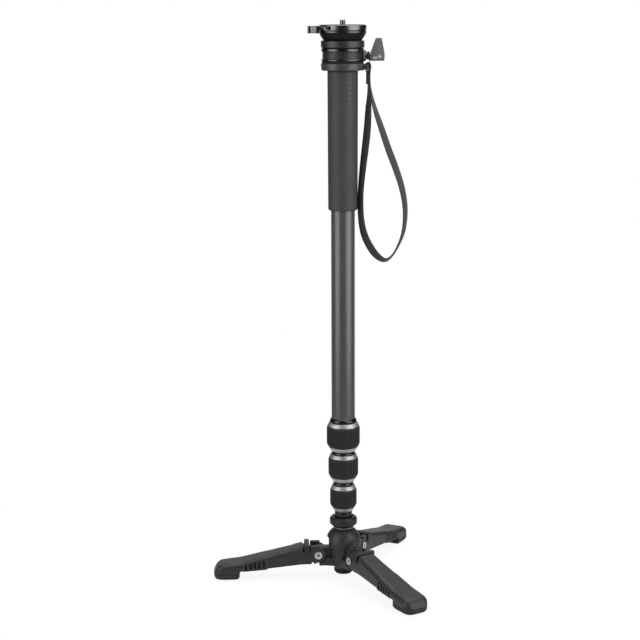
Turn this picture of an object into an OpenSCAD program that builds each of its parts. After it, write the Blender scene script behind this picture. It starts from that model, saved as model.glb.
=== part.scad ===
// Camera monopod: a four-section carbon column with twist locks, a three-legged
// folding base on a tilting ball, and a levelling head with a camera plate.
// Origin: centre of the rubber tip under the base hub, on the column's axis. +Z runs up the column.

/* [Base hub] */
// Height of the hub's rubber tip above the leg soles
foot_lift = 4; // [2:0.5:7]
// Height of the tilt ball's centre above the rubber tip
pivot_h = 35.3; // [33:0.1:40]
// Radius of the hub's dome about the tilt ball
dome_r = 19.8; // [18:0.1:21.5]
// Radius of the tilt ball
ball_r = 9; // [8.5:0.1:9.2]
// Radius of the stem above the tilt ball
stem_r = 5.5; // [5:0.1:6]
// Largest tilt of the column from upright, in degrees
tilt_max = 15; // [8:1:15]
// Radius of the hub's post
post_r = 10.7; // [10.4:0.1:12]
// Height of the rubber tip under the post
tip_h = 5; // [4:0.5:7]
// Width of a hub tongue between the leg's cheeks
tongue_w = 13; // [10:0.5:14]
// Radius of a tongue's round end
eye_r = 8.2; // [7:0.1:8.6]
// Distance of a leg's hinge pin from the column's axis
hinge_r = 28.9; // [28:0.1:34]
// Height of the hinge pins above the rubber tip
hinge_h = 23; // [21:0.5:25]
// Radius of a hinge pin
pin_r = 2.5; // [1.8:0.1:3]
// Radius of a hinge pin's head
pin_head_r = 4.3; // [3.8:0.1:5.5]
// Thickness of a hinge pin's head
pin_head_t = 1.3; // [1:0.1:2]

/* [Legs] */
// Direction of the first leg, in degrees from +X towards +Y
leg_turn = 182.4; // [0:0.1:360]
// Distance of a leg's tip from the column's axis
leg_reach = 147; // [135:1:170]
// Width of a leg at its hinge
leg_root_w = 22.6; // [21:0.1:25]
// Width of a leg at its foot
leg_foot_w = 30; // [27:0.5:34]
// Height of a leg's top edge above the hinge pin at its root
leg_root_rise = 10; // [9:0.5:11]
// Thickness of a leg over its heel
leg_foot_t = 8.5; // [7:0.5:11]
// Height of a leg's underside above the ground at its heel
heel_h = 10; // [8:0.5:12]
// Depth of a leg at its root, from its top edge to its underside
leg_root_t = 20.5; // [18:0.5:23]
// Width of the bevel along a leg's top edges
leg_bevel = 3; // [1:0.5:4]
// Wall of a leg round its hollow underside
leg_wall = 2.6; // [2:0.1:3.5]
// Number of slots in each side of a leg
slot_count = 5; // [3:1:6]
// Width of a side slot
slot_w = 2; // [1.2:0.1:2.4]
// Spacing of the side slots
slot_pitch = 4.85; // [3.6:0.05:5]
// Length of a sole along its leg
sole_len = 29.5; // [24:0.5:33]
// Height of a sole
sole_h = 6; // [4:0.5:7]
// Length of a latch button along its leg
latch_len = 5.6; // [4.5:0.1:7]
// Height of a latch button above the leg's top edge
latch_proud = 1.9; // [1:0.1:2.2]
// Travel of a latch button away from the hinge
latch_travel = 1.8; // [1:0.1:2.5]

/* [Base lock] */
// Radius of the base lock's collar
collar_r = 15.35; // [14.5:0.05:18]
// Height of the base lock's collar
collar_h = 11.5; // [10:0.5:16]
// Radius of the metal ring under the collar
ring_r = 11.4; // [11.2:0.1:13.5]
// Thickness of the metal ring at its edge
ring_t = 1.6; // [1:0.1:2]
// Radius of the neck above the collar
neck_r = 9.8; // [9:0.1:11]
// Height from the collar's top to the top of the neck
neck_h = 5.9; // [3:0.1:8]

/* [Column] */
// Outside diameter of the top tube
tube_od = 26; // [25:0.1:28]
// Wall of each tube
tube_wall = 1.3; // [1:0.05:1.5]
// Radial gap between one tube and the next
tube_gap = 0.45; // [0.4:0.05:0.7]
// Length of the top tube
tube_len = 406; // [380:0.1:460]
// Length of a guide bush at the top of an inner tube
bush_len = 28; // [20:1:40]
// Length of the grip sleeve
grip_len = 150; // [120:1:170]
// Outside radius of the grip sleeve at its top
grip_r = 16.4; // [15.8:0.1:18]
// Drop of the grip's radius from its top to its bottom
grip_taper = 0.4; // [0:0.1:1]

/* [Twist locks] */
// Wall from a tube's outside to the outside of its twist lock
lock_wall = 5.45; // [5.3:0.05:6.5]
// Length of the rubber grip on the bottom lock
lock_grip_h = 21.3; // [20:0.1:26]
// Extra length of the rubber grip from one lock to the next one up
lock_grip_step = 1.15; // [0:0.05:2]
// Height of the bright cone at the top of a lock nut
nut_top_h = 4.5; // [3.5:0.1:7]
// Height of the bright ring at the bottom of a lock nut
nut_base_h = 5; // [3.5:0.1:6]
// Thickness of the rubber grip
lock_rubber_t = 2.6; // [1.8:0.1:2.8]
// Spacing of the grip's ribs round its outside
rib_pitch = 2.8; // [2.4:0.1:5]
// Depth of the grooves between the ribs
rib_depth = 0.55; // [0.3:0.05:0.8]
// Height of the ferrule that shows above the top lock
ferrule_top_h = 4.7; // [3:0.1:9]
// Height of the ferrule that shows above the middle lock
ferrule_mid_h = 3; // [2:0.1:6]
// Height of the ferrule that shows above the bottom lock
ferrule_low_h = 3.8; // [2:0.1:6]

/* [Head] */
// Radius of the strap collar
strap_collar_r = 23.4; // [22:0.1:26]
// Height of the strap collar
strap_collar_h = 7.5; // [6:0.5:10]
// Dark gap between the strap collar and the head
head_gap = 2.3; // [1.8:0.1:4]
// Radius of the head's rims
head_r = 22.9; // [22.4:0.1:25]
// Depth of the waist between the head's rims
waist_depth = 1.3; // [0.5:0.1:1.6]
// Height of the head's body
head_h = 13.6; // [12.5:0.1:16]
// Height of the clamp ring over the head's body
clamp_ring_h = 7.6; // [7:0.1:10]
// Radius of the half ball's sphere
half_ball_r = 26.9; // [26.5:0.1:28]
// Largest tilt of the half ball, in degrees
level_max = 10; // [5:1:10]
// Radius of the camera plate
plate_r = 25.3; // [24.8:0.1:26]
// Thickness of the camera plate
plate_t = 6; // [5.5:0.1:8]
// Thickness of the half ball's flange under the plate
flange_t = 2.2; // [1.8:0.1:3]
// Height from the sphere's centre down to the flange's bottom
flange_drop = 9.9; // [9:0.1:11]
// Major diameter of the camera screw's thread
screw_d = 6.35; // [6.35:3.175:9.525]
// Length of the camera screw above the plate
screw_len = 5.5; // [4.5:0.1:8]

/* [Controls] */
// Length of the plate lever from its pivot to its end
lever_len = 20; // [16:0.5:26]
// Width of the plate lever
lever_w = 6.4; // [5:0.1:7]
// Height of the lock paddle above its screw
paddle_rise = 18.4; // [14:0.1:22]
// Width of the lock paddle at its foot
paddle_foot_w = 16; // [12:0.5:20]
// Width of the lock paddle at its top
paddle_top_w = 6.2; // [5:0.1:9]
// Thickness of the lock paddle
paddle_t = 4; // [3:0.1:5]
// Radius of the paddle's screw
paddle_screw_r = 3; // [2.5:0.1:3.4]

/* [Wrist strap] */
// Width of the strap's webbing
strap_w = 10; // [8:0.5:11]
// Thickness of the strap's webbing
strap_t = 1.5; // [1.2:0.1:1.5]

/* [Hidden] */
$fn = 96;

// Clearances: a running fit, a free gap between moving pieces, and a thin joint line
fit = 0.05;
free = 0.4;
seam = 0.1;
eps = 0.01;
// Usual edge break on the turned pieces
chamfer = 0.6;

// Finishes
black_metal = [0.10, 0.10, 0.11];
black_plastic = [0.16, 0.16, 0.17];
rubber = [0.12, 0.12, 0.12];
bright_metal = [0.72, 0.72, 0.73];
carbon = [0.22, 0.22, 0.23];
paddle_grey = [0.45, 0.46, 0.47];

// Heights up the column, each worked out from the piece below it
dome_gap = 0.9;
cap_r = dome_r + dome_gap;
ring_z = pivot_h + sqrt(cap_r * cap_r - ring_r * ring_r);
collar_z = ring_z + ring_t;
collar_top = collar_z + collar_h;
neck_top = collar_top + neck_h;
function tube_r(i) = tube_od / 2 - (i - 1) * (tube_wall + tube_gap);
function bore_r(i) = tube_r(i) - tube_wall;
function lock_r(i) = tube_r(i) + lock_wall;
function grip_h(i) = lock_grip_h + (3 - i) * lock_grip_step;
function lock_h(i) = nut_base_h + grip_h(i) + nut_top_h;
function ferrule_h(i) = i == 1 ? ferrule_top_h : i == 2 ? ferrule_mid_h : ferrule_low_h;
function lock_z(i) = i == 3 ? neck_top + free : lock_top(i + 1) + ferrule_h(i + 1) + free;
function lock_top(i) = lock_z(i) + lock_h(i);
// A tube ends inside its lock nut, where its ferrule's sleeve ends too
sleeve_len = 14;
function tube_end(i) = i == 4 ? neck_top : lock_top(i) - sleeve_len;
column_top = tube_end(1) + tube_len;
// Each inner tube stops a little lower than the one outside it
plug_depth = 12;
tube_stagger = 5;
function tube_top(i) = i == 1 ? column_top : column_top - plug_depth - (i - 1) * tube_stagger;

// Heights up the head
strap_collar_seat = 4.3;
strap_collar_z = column_top - strap_collar_seat;
strap_collar_top = strap_collar_z + strap_collar_h;
head_z = strap_collar_top + head_gap;
head_top = head_z + head_h;
clamp_ring_z = head_top + free;
clamp_ring_top = clamp_ring_z + clamp_ring_h;
// The clamp ring holds the half ball at this circle near the ring's top
grip_circle_r = 20.2;
level_z = clamp_ring_top + sqrt(half_ball_r * half_ball_r - grip_circle_r * grip_circle_r);
flange_z = level_z - flange_drop;
plate_groove = 0.5;
plate_z = flange_z + flange_t + plate_groove;
plate_top = plate_z + plate_t;
knob_rise = 5.6;
knob_z = head_z + knob_rise;

// One polar copy per leg
module at_leg(i) {
    rotate([0, 0, leg_turn - (i - 1) * 120]) children();
}

// A leg's hinge line, with +Z along the pin towards its head
module at_pin() {
    translate([hinge_r, 0, hinge_h]) rotate([90, 0, 0]) children();
}

// A flat outline in the radial plane, given as [radius, height], swept to a width
module radial_plate(width) {
    translate([0, width / 2, 0]) rotate([90, 0, 0]) linear_extrude(width) children();
}

// A round profile turned about the column's axis
module turned(points) {
    rotate_extrude() polygon(points);
}

// A ring with plain ends
module sleeve(r_out, r_in, z0, z1) {
    translate([0, 0, z0]) difference() {
        cylinder(h = z1 - z0, r = r_out);
        translate([0, 0, -1]) cylinder(h = z1 - z0 + 2, r = r_in);
    }
}

// A rectangle with round corners, centred on the origin
module round_rect(size, r) {
    square([size[0] - 2 * r, size[1]], center = true);
    square([size[0], size[1] - 2 * r], center = true);
    for (x = [-1, 1], y = [-1, 1])
        translate([x * (size[0] / 2 - r), y * (size[1] / 2 - r)]) circle(r, $fn = 32);
}

// Hub: a dome over the tilt ball that runs down to a post, with a tongue and a yoke for each leg
skirt_h = 5;
// Step where the flare runs under the dome's skirt
skirt_step = 0.4;
flare_r = sqrt(dome_r * dome_r - skirt_h * skirt_h) - skirt_step;
// Angle about the pin at which the tongue's round end runs into its sloped top
eye_end = 122;
// The tongue's underside at the pin and its dip at the axis, and its top behind the round end
tongue_base = hinge_h - 12.3;
tongue_dip = 1.2;
tongue_back = hinge_h + 7;
// The yoke's top beside the tongue, under a folded leg, and its gap round a cheek's round end
yoke_top = hinge_h - 3.4;
yoke_gap = 0.9;
// Shoulder above the post, wide enough to take in the corners where the yokes meet
shoulder_r = leg_root_w / 2 / sin(60) + 0.4;
shoulder_z = tongue_base - tongue_dip - 0.2;
cup_r = ball_r + fit;
bore_lip_h = ball_r * 0.62;
function opening_r(h) = (stem_r + h * sin(tilt_max)) / cos(tilt_max) + free;
// Flats on the dome leave room for a folded leg and its latch button
flat_gap = 0.7;
flat_r = hinge_r - leg_root_rise - latch_proud - flat_gap;
flat_top = hinge_h + leg_root_rise + 9;
// Wings of a latch button down the leg's sides
latch_wing = 0.9;
flat_half_w = leg_root_w / 2 + latch_wing + 2 * free;

module hub_profile() {
    rotate_extrude() difference() {
        union() {
            intersection() {
                translate([0, pivot_h]) circle(dome_r);
                translate([0, pivot_h - skirt_h]) square([dome_r, dome_r + skirt_h]);
            }
            polygon([[0, tip_h], [post_r, tip_h], [post_r, shoulder_z - shoulder_r + post_r],
                [shoulder_r, shoulder_z], [flare_r, pivot_h - skirt_h], [0, pivot_h]]);
        }
        translate([-dome_r, 0]) square([dome_r, 4 * dome_r]);
    }
}

module hub_tongue() {
    radial_plate(tongue_w) {
        translate([hinge_r, hinge_h]) circle(eye_r);
        polygon([[0, tongue_base - tongue_dip], [(post_r + hinge_r) / 2, tongue_base],
            [hinge_r, hinge_h - eye_r], [hinge_r, hinge_h],
            [hinge_r + eye_r * cos(eye_end), hinge_h + eye_r * sin(eye_end)], [flat_r - 1, tongue_back],
            [0, tongue_back]]);
    }
}

module hub_yoke() {
    radial_plate(leg_root_w) difference() {
        polygon([[0, tongue_base - tongue_dip], [(post_r + hinge_r) / 2, tongue_base],
            [hinge_r - 1, tongue_base], [hinge_r - 1, yoke_top], [0, yoke_top]]);
        translate([hinge_r, hinge_h]) circle(cheek_r + yoke_gap);
    }
}

module hub() {
    color(black_plastic) difference() {
        union() {
            difference() {
                hub_profile();
                for (i = [1:3]) at_leg(i)
                    translate([flat_r, -flat_half_w, 0]) cube([2 * dome_r, 2 * flat_half_w, flat_top]);
            }
            for (i = [1:3]) at_leg(i) {
                hub_tongue();
                hub_yoke();
            }
        }
        // Socket for the tilt ball, open below for assembly and flared above for the tilting stem
        translate([0, 0, pivot_h]) sphere(cup_r);
        translate([0, 0, tip_h - 1]) cylinder(h = pivot_h - tip_h + 1, r = cup_r);
        translate([0, 0, pivot_h + bore_lip_h])
            cylinder(h = dome_r, r1 = opening_r(bore_lip_h), r2 = opening_r(bore_lip_h + dome_r));
        for (i = [1:3]) at_leg(i) at_pin() cylinder(h = 2 * tongue_w, r = pin_r, center = true);
    }
}

// Rubber tip that closes the post, with a rounded edge
tip_round = tip_h * 0.48;
tip_wall = 1.6;
module hub_foot() {
    color(rubber) rotate_extrude() {
        square([post_r - tip_round, tip_h]);
        translate([0, tip_round]) square([post_r, tip_h - tip_round]);
        translate([post_r - tip_round, tip_round]) circle(tip_round);
        square([cup_r, tip_h + tip_wall]);
    }
}

// Threaded plug that presses the cup against the ball from below
cup_floor = pivot_h - ball_r - 3;
plug_z = tip_h + tip_wall;
plug_socket_r = 3;
plug_socket_depth = 4;
module cup_plug() {
    color(bright_metal) difference() {
        translate([0, 0, plug_z]) cylinder(h = cup_floor - seam - plug_z, r = cup_r);
        translate([0, 0, plug_z - 1]) cylinder(h = plug_socket_depth + 1, r = plug_socket_r, $fn = 6);
    }
}

// Nylon cup under the tilt ball
module ball_cup() {
    color([0.85, 0.85, 0.82]) difference() {
        translate([0, 0, cup_floor]) cylinder(h = pivot_h - 2 - cup_floor, r = ball_r - fit);
        translate([0, 0, pivot_h]) sphere(ball_r + fit);
    }
}

// Barrel of each hinge, with its head on one side of the leg
pin_seat = leg_root_w / 2 + seam;
pin_socket_r = pin_r * 0.75;
pin_socket_depth = 0.9;
pin_thread_r = pin_r * 0.55;
pin_thread_len = 8;
module hinge_pins() {
    color(bright_metal) for (i = [1:3]) at_leg(i) at_pin() difference() {
        union() {
            translate([0, 0, -pin_seat]) cylinder(h = 2 * pin_seat, r = pin_r);
            translate([0, 0, pin_seat]) cylinder(h = pin_head_t, r = pin_head_r);
        }
        translate([0, 0, pin_seat + pin_head_t - pin_socket_depth])
            cylinder(h = 2, r = pin_socket_r, $fn = 6);
        translate([0, 0, -pin_seat - 1]) cylinder(h = pin_seat, r = pin_thread_r);
    }
}

// Screw that closes each hinge from the other side
module hinge_screws() {
    color(bright_metal) for (i = [1:3]) at_leg(i) at_pin() rotate([180, 0, 0]) difference() {
        union() {
            translate([0, 0, pin_seat]) cylinder(h = pin_head_t, r = pin_head_r);
            translate([0, 0, pin_seat - pin_thread_len])
                cylinder(h = pin_thread_len + eps, r = pin_thread_r);
        }
        translate([0, 0, pin_seat + pin_head_t - pin_socket_depth])
            cylinder(h = 2, r = pin_socket_r, $fn = 6);
    }
}

// Ball, stem, neck and spigot turned in one piece
spigot_len = 18;
neck_sink = 3.5;
neck_step = 0.6;
module ball_stem() {
    stem_base = sqrt(ball_r * ball_r - stem_r * stem_r) - 0.5;
    color(bright_metal) union() {
        translate([0, 0, pivot_h]) sphere(ball_r);
        translate([0, 0, pivot_h + stem_base]) cylinder(h = collar_top - pivot_h - stem_base, r = stem_r);
        turned([[0, collar_top - neck_sink], [neck_r - neck_step, collar_top - neck_sink],
            [neck_r - neck_step, collar_top], [neck_r, collar_top + neck_step], [neck_r, neck_top],
            [0, neck_top]]);
        translate([0, 0, neck_top - eps]) cylinder(h = spigot_len, r = bore_r(4));
    }
}

// Bright ring under the collar's edge, coned inside to ride over the dome
ring_in_r = sqrt(cap_r * cap_r - pow(collar_z - pivot_h, 2));
module dome_ring() {
    color(bright_metal) turned([[ring_r, ring_z], [ring_r, collar_z], [ring_in_r, collar_z]]);
}

// Collar that screws down on the dome and locks the tilt
collar_chamfer = 2.2;
collar_taper_h = 3.4;
module lock_collar() {
    color(black_metal) difference() {
        turned([
            [stem_r + fit, collar_z], [ring_r + seam, collar_z], [collar_r, collar_z + collar_taper_h],
            [collar_r, collar_top - collar_chamfer], [collar_r - collar_chamfer, collar_top],
            [neck_r + free, collar_top], [neck_r + free, collar_top - neck_sink - free],
            [stem_r + fit, collar_top - neck_sink - free]
        ]);
        translate([0, 0, pivot_h]) sphere(cap_r);
    }
}

// Leg: a moulded channel, forked round the hub's tongue, with a wider boot over the foot
body_r = hinge_r + eye_r + free;
latch_r0 = body_r + 1.4;
latch_r1 = latch_r0 + latch_len;
notch_r1 = latch_r1 + latch_travel + free;
leg_top = hinge_h + leg_root_rise;
heel_z = heel_h - foot_lift;
foot_top = heel_z + leg_foot_t;
sole_top = sole_h - foot_lift;
heel_r = leg_reach - sole_len;
foot_r0 = heel_r - 1.5;
cheek_r = eye_r + free;
fork_half_w = tongue_w / 2 + 0.35;
// Depth of the latch notch, and the wall left between it and the fork
notch_depth = 6;
notch_wall = 1.2;
// Ears of the cheeks beside the notch: their rise over the leg's top and their reach past the pin
ear_rise = 0.6;
ear_reach = 2.1;
// Where the boot starts, and its step out from the arm at the sides and below
boot_r = notch_r1 + 0.58 * (foot_r0 - notch_r1);
boot_step = 0.9;
// Crown of the leg's top over the foot
foot_crown = 1.2;
toe_corner = 9;
// Share of the way from the leg's root to its foot
function leg_share(r) = min(1, max(0, (r - notch_r1) / (foot_r0 - notch_r1)));
function leg_half_w(r) = leg_root_w / 2 + (leg_foot_w - leg_root_w) / 2 * pow(leg_share(r), 1.3);
function leg_top_z(r) = leg_top + (foot_top + foot_crown - leg_top) * leg_share(r);
function leg_base_z(r) = leg_top - leg_root_t + (heel_z - leg_top + leg_root_t) * leg_share(r);
function boot_half_w(r) = leg_half_w(r) + boot_step * (foot_r0 - r) / (foot_r0 - boot_r);

module leg_section(r, step = 0) {
    w = leg_half_w(r) + step;
    base = leg_base_z(r) - step;
    top = leg_top_z(r);
    translate([r, 0, 0]) rotate([90, 0, 90]) linear_extrude(eps) polygon([
        [-w, base], [w, base], [w, top - leg_bevel], [w - leg_bevel, top], [leg_bevel - w, top],
        [-w, top - leg_bevel]
    ]);
}

// Plan of the foot's block: square at the heel and round at the toe
module foot_plan(inset) {
    half = leg_foot_w / 2 - inset;
    back = heel_r + inset;
    tip = leg_reach - inset;
    corner = toe_corner - inset;
    translate([back, -half]) square([tip - corner - back, 2 * half]);
    translate([back, corner - half]) square([tip - back, 2 * (half - corner)]);
    for (y = [-1, 1]) translate([tip - corner, y * (half - corner)]) circle(corner, $fn = 32);
}

// The toe is rounded in plan and over its top, and its block reaches down to the sole
foot_inset = 0.3;
module leg_toe() {
    hull() {
        leg_section(foot_r0);
        for (y = [-1, 1]) translate([leg_reach - toe_corner, y * (leg_foot_w / 2 - toe_corner), heel_z]) {
            cylinder(h = leg_foot_t * 0.45, r = toe_corner, $fn = 32);
            cylinder(h = leg_foot_t * 0.8, r = toe_corner - 1.5, $fn = 32);
            cylinder(h = leg_foot_t, r = toe_corner - 4, $fn = 32);
        }
    }
    translate([0, 0, sole_top]) linear_extrude(heel_z - sole_top + 2) foot_plan(foot_inset);
}

module leg_body() {
    hull() {
        leg_section(notch_r1);
        leg_section(boot_r);
    }
    hull() {
        leg_section(boot_r, boot_step);
        leg_section(foot_r0);
    }
    leg_toe();
    // Cheeks with their ears, and the floor of the latch notch
    radial_plate(leg_root_w) {
        translate([hinge_r, hinge_h]) circle(cheek_r);
        polygon([
            [hinge_r, hinge_h - cheek_r], [hinge_r + 5, leg_top - leg_root_t],
            [notch_r1 + 1, leg_base_z(notch_r1)], [notch_r1 + 1, leg_top - notch_depth],
            [latch_r0 - notch_wall, leg_top - notch_depth], [latch_r0 - notch_wall, leg_top + ear_rise],
            [hinge_r - ear_reach, leg_top + ear_rise], [hinge_r - ear_reach, hinge_h]
        ]);
    }
}

module leg(i) {
    hollow_r0 = notch_r1 + tail_room + 2;
    hollow_r1 = foot_r0 - 1;
    hollow_w = leg_root_w - 2 * leg_wall;
    hollow_roof = leg_wall + 1.5;
    fork_r1 = latch_r0 - notch_wall + seam;
    slot_r = boot_r + 3;
    slot_depth = 2;
    slot_edge = 1;
    relief = [2.5, 2];
    color(black_plastic) at_leg(i) difference() {
        leg_body();
        // Fork for the tongue, with room for its round end
        radial_plate(2 * fork_half_w) polygon([
            [hinge_r - 2 * eye_r, 0], [body_r, 0], [body_r, leg_top - notch_depth - 1],
            [fork_r1, leg_top - notch_depth - 1], [fork_r1, leg_top + 5], [hinge_r - 2 * eye_r, leg_top + 5]
        ]);
        // Pocket for the latch button's tail
        translate([notch_r1 - 1, -tail_w / 2 - free, leg_top - notch_depth])
            cube([tail_room + 1, tail_w + 2 * free, tail_h + free]);
        // Relief across the underside, beside the fork
        translate([body_r - relief[0] - 1, -leg_root_w, leg_top - leg_root_t - 1])
            cube([relief[0], 2 * leg_root_w, relief[1] + 1]);
        // Hollow underside
        radial_plate(hollow_w) polygon([
            [hollow_r0, -foot_lift], [hollow_r1, -foot_lift],
            [hollow_r1, leg_top_z(hollow_r1) - hollow_roof], [hollow_r0, leg_top_z(hollow_r0) - hollow_roof]
        ]);
        // Blind slots in both sides of the boot
        for (k = [0:slot_count - 1], s = [-1, 1]) {
            r = slot_r + k * slot_pitch;
            z0 = leg_base_z(r) + slot_edge;
            translate([r + slot_w / 2, s * boot_half_w(r), (z0 + leg_top_z(r) - leg_bevel) / 2])
                cube([slot_w, 2 * slot_depth, leg_top_z(r) - leg_bevel - z0], center = true);
        }
        at_pin() cylinder(h = 2 * leg_root_w, r = pin_r + fit, center = true);
    }
}

// Rubber sole under the foot, with a broken lower edge
sole_edge = 1.4;
module sole(i) {
    color(rubber) at_leg(i) translate([0, 0, -foot_lift]) {
        translate([0, 0, sole_edge]) linear_extrude(sole_h - sole_edge) foot_plan(foot_inset);
        linear_extrude(sole_edge + eps) foot_plan(foot_inset + sole_edge);
    }
}

// Latch button saddled over the leg: wings down its sides, a nose towards the tongue's round end
// and a tail that slides in the arm
tail_w = 16;
tail_h = 4.1;
tail_len = 2.8;
tail_room = tail_len;
module leg_latch(i) {
    nose_z = leg_top - notch_depth + seam;
    nose_h = 3;
    nose_r = hinge_r + sqrt(eye_r * eye_r - pow(nose_z - hinge_h, 2)) + free;
    latch_top = leg_top + latch_proud;
    wing_z = hinge_h + 1;
    corner = 1.2;
    mid_r = (latch_r0 + latch_r1) / 2;
    wing_y = leg_root_w / 2 + seam + latch_wing / 2;
    color(black_metal) at_leg(i) {
        radial_plate(2 * wing_y + latch_wing) translate([mid_r, (nose_z + latch_top) / 2])
            round_rect([latch_len, latch_top - nose_z], corner);
        for (s = [-1, 1]) translate([0, s * wing_y, 0]) radial_plate(latch_wing)
            translate([mid_r, (wing_z + latch_top) / 2]) round_rect([latch_len, latch_top - wing_z], corner);
        radial_plate(tongue_w - 4) polygon([[nose_r, nose_z], [latch_r0 + 1.5, nose_z],
            [latch_r0 + 1.5, nose_z + nose_h], [nose_r + nose_h / 2, nose_z + nose_h]]);
        radial_plate(tail_w) translate([latch_r1 - 1.5, nose_z]) square([tail_len + 1.5, tail_h]);
    }
}

// Carbon tubes
module tube(i) {
    color(carbon) sleeve(tube_r(i), bore_r(i), tube_end(i), tube_top(i));
}

// Guide bush round the top of an inner tube
module guide_bush(i) {
    color([0.85, 0.85, 0.82]) sleeve(bore_r(i - 1) - fit, tube_r(i), tube_top(i) - bush_len, tube_top(i));
}

// Ferrule glued on a tube's end: a threaded sleeve inside the nut and a sloped shoulder above it
sleeve_wall = 1.5;
shoulder_wall = 1.75;
shoulder_slope = 1.4;
module ferrule(i) {
    r = tube_r(i);
    z0 = lock_top(i) + seam;
    z1 = lock_top(i) + ferrule_h(i);
    color(black_metal) turned([
        [r, tube_end(i)], [r + sleeve_wall, tube_end(i)], [r + sleeve_wall, z0], [r + shoulder_wall, z0],
        [r + shoulder_wall, z1 - shoulder_slope], [r + free, z1], [r, z1]
    ]);
}

// Split collet that the nut squeezes on the inner tube
collet_wall = 1.6;
collet_cone_h = 2;
collet_slit = 1;
collet_ring_h = 4;
module collet(i) {
    r = tube_r(i + 1);
    z0 = lock_z(i) + nut_base_h + free;
    color([0.8, 0.8, 0.76]) difference() {
        turned([[r + fit, z0], [r + collet_wall / 2, z0], [r + collet_wall, z0 + collet_cone_h],
            [r + collet_wall, tube_end(i)], [r + fit, tube_end(i)]]);
        for (a = [0, 90]) rotate([0, 0, a]) translate([-tube_od, -collet_slit / 2, z0 - 1])
            cube([2 * tube_od, collet_slit, tube_end(i) - z0 + 1 - collet_ring_h]);
    }
}

// Lock nut: bright rings at both ends and a core under the rubber
nut_foot_in = 4.4;
nut_edge = 0.8;
nut_ledge_in = 2.1;
nut_rim_in = 1;
nut_rim_h = 0.6;
nut_lip_in = 2.7;
module lock_nut(i) {
    r = lock_r(i);
    z0 = lock_z(i);
    z1 = z0 + nut_base_h;
    z2 = z1 + grip_h(i);
    z3 = lock_top(i);
    core_r = r - lock_rubber_t;
    bore = tube_r(i + 1) + free;
    collet_r = tube_r(i + 1) + collet_wall + free;
    thread_r = tube_r(i) + sleeve_wall + fit;
    color(bright_metal) turned([
        [bore, z0], [r - nut_foot_in - nut_edge, z0], [r - nut_foot_in, z0 + nut_edge],
        [r - nut_ledge_in, z1], [core_r, z1], [core_r, z2],
        [r - nut_rim_in, z2], [r - nut_rim_in, z2 + nut_rim_h], [r - nut_lip_in + free, z3 - free],
        [r - nut_lip_in, z3], [thread_r, z3], [thread_r, tube_end(i) - free], [collet_r, tube_end(i) - free],
        [collet_r, z1 + 1.2], [bore, z1 - 1]
    ]);
}

// Ribbed rubber on a lock nut, drawn in to the bottom ring and rounded at its top
grip_draw_h = 4.6;
grip_edge = [0.7, 2];
rib_groove_w = 0.7;
rib_start = 2.4;
rib_end = 2.2;
module lock_grip(i) {
    r = lock_r(i);
    core_r = r - lock_rubber_t;
    z1 = lock_z(i) + nut_base_h;
    z2 = z1 + grip_h(i);
    ribs = round(2 * PI * r / rib_pitch);
    color(rubber) difference() {
        turned([[core_r, z1], [r - nut_ledge_in, z1], [r - nut_ledge_in * 0.5, z1 + grip_draw_h * 0.36],
            [r - nut_ledge_in * 0.12, z1 + grip_draw_h * 0.74], [r, z1 + grip_draw_h],
            [r, z2 - grip_edge[1]], [r - grip_edge[0], z2], [core_r, z2]]);
        for (k = [0:ribs - 1]) rotate([0, 0, k * 360 / ribs])
            translate([r - rib_depth, -rib_groove_w / 2, z1 + rib_start])
                cube([2 * rib_depth, rib_groove_w, grip_h(i) - rib_start - rib_end]);
    }
}

// Rubber grip sleeve over the top tube
grip_top = strap_collar_z;
grip_z = grip_top - grip_len;
grip_lip = 1;
grip_round_h = 2.4;
module grip_sleeve() {
    r = tube_r(1);
    end_r = grip_r - grip_taper;
    color(rubber) turned([
        [r, grip_z], [r + grip_lip, grip_z], [end_r - chamfer, grip_z + chamfer],
        [end_r, grip_z + grip_round_h], [grip_r, grip_top], [r, grip_top]
    ]);
}

// Strap collar on top of the grip, with a lug and a bar for the wrist strap
plug_flange_r = 18;
bar_x = strap_collar_r + 3.8;
bar_half = [1.5, 2.5];
bar_z = strap_collar_z + 3.8;
window_half = strap_w / 2 + 0.8;
cheek_t = 2.2;
cheek_root = 8;
module strap_collar() {
    color(black_metal) {
        difference() {
            union() {
                turned([[tube_r(1), strap_collar_z], [strap_collar_r - 2 * chamfer, strap_collar_z],
                    [strap_collar_r - chamfer, strap_collar_z + chamfer],
                    [strap_collar_r, strap_collar_top - chamfer],
                    [strap_collar_r - chamfer, strap_collar_top], [tube_r(1), strap_collar_top]]);
                // Lug cheeks on both sides of the strap
                for (s = [-1, 1]) translate([0, 0, bar_z - bar_half[1] - free])
                    linear_extrude(2 * (bar_half[1] + free)) polygon([
                        [strap_collar_r - cheek_root, s * window_half],
                        [bar_x + bar_half[0], s * window_half],
                        [bar_x + bar_half[0], s * (window_half + cheek_t)],
                        [strap_collar_r - cheek_root + 2, s * (window_half + cheek_root)]
                    ]);
            }
            translate([0, 0, strap_collar_z + strap_collar_seat])
                cylinder(h = strap_collar_h, r = plug_flange_r + seam);
            translate([0, 0, strap_collar_z - 1]) cylinder(h = strap_collar_h, r = tube_r(1));
        }
        radial_plate(2 * window_half + 0.2) translate([bar_x, bar_z])
            round_rect([2 * bar_half[0], 2 * bar_half[1]], bar_half[0] - eps);
    }
}

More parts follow.
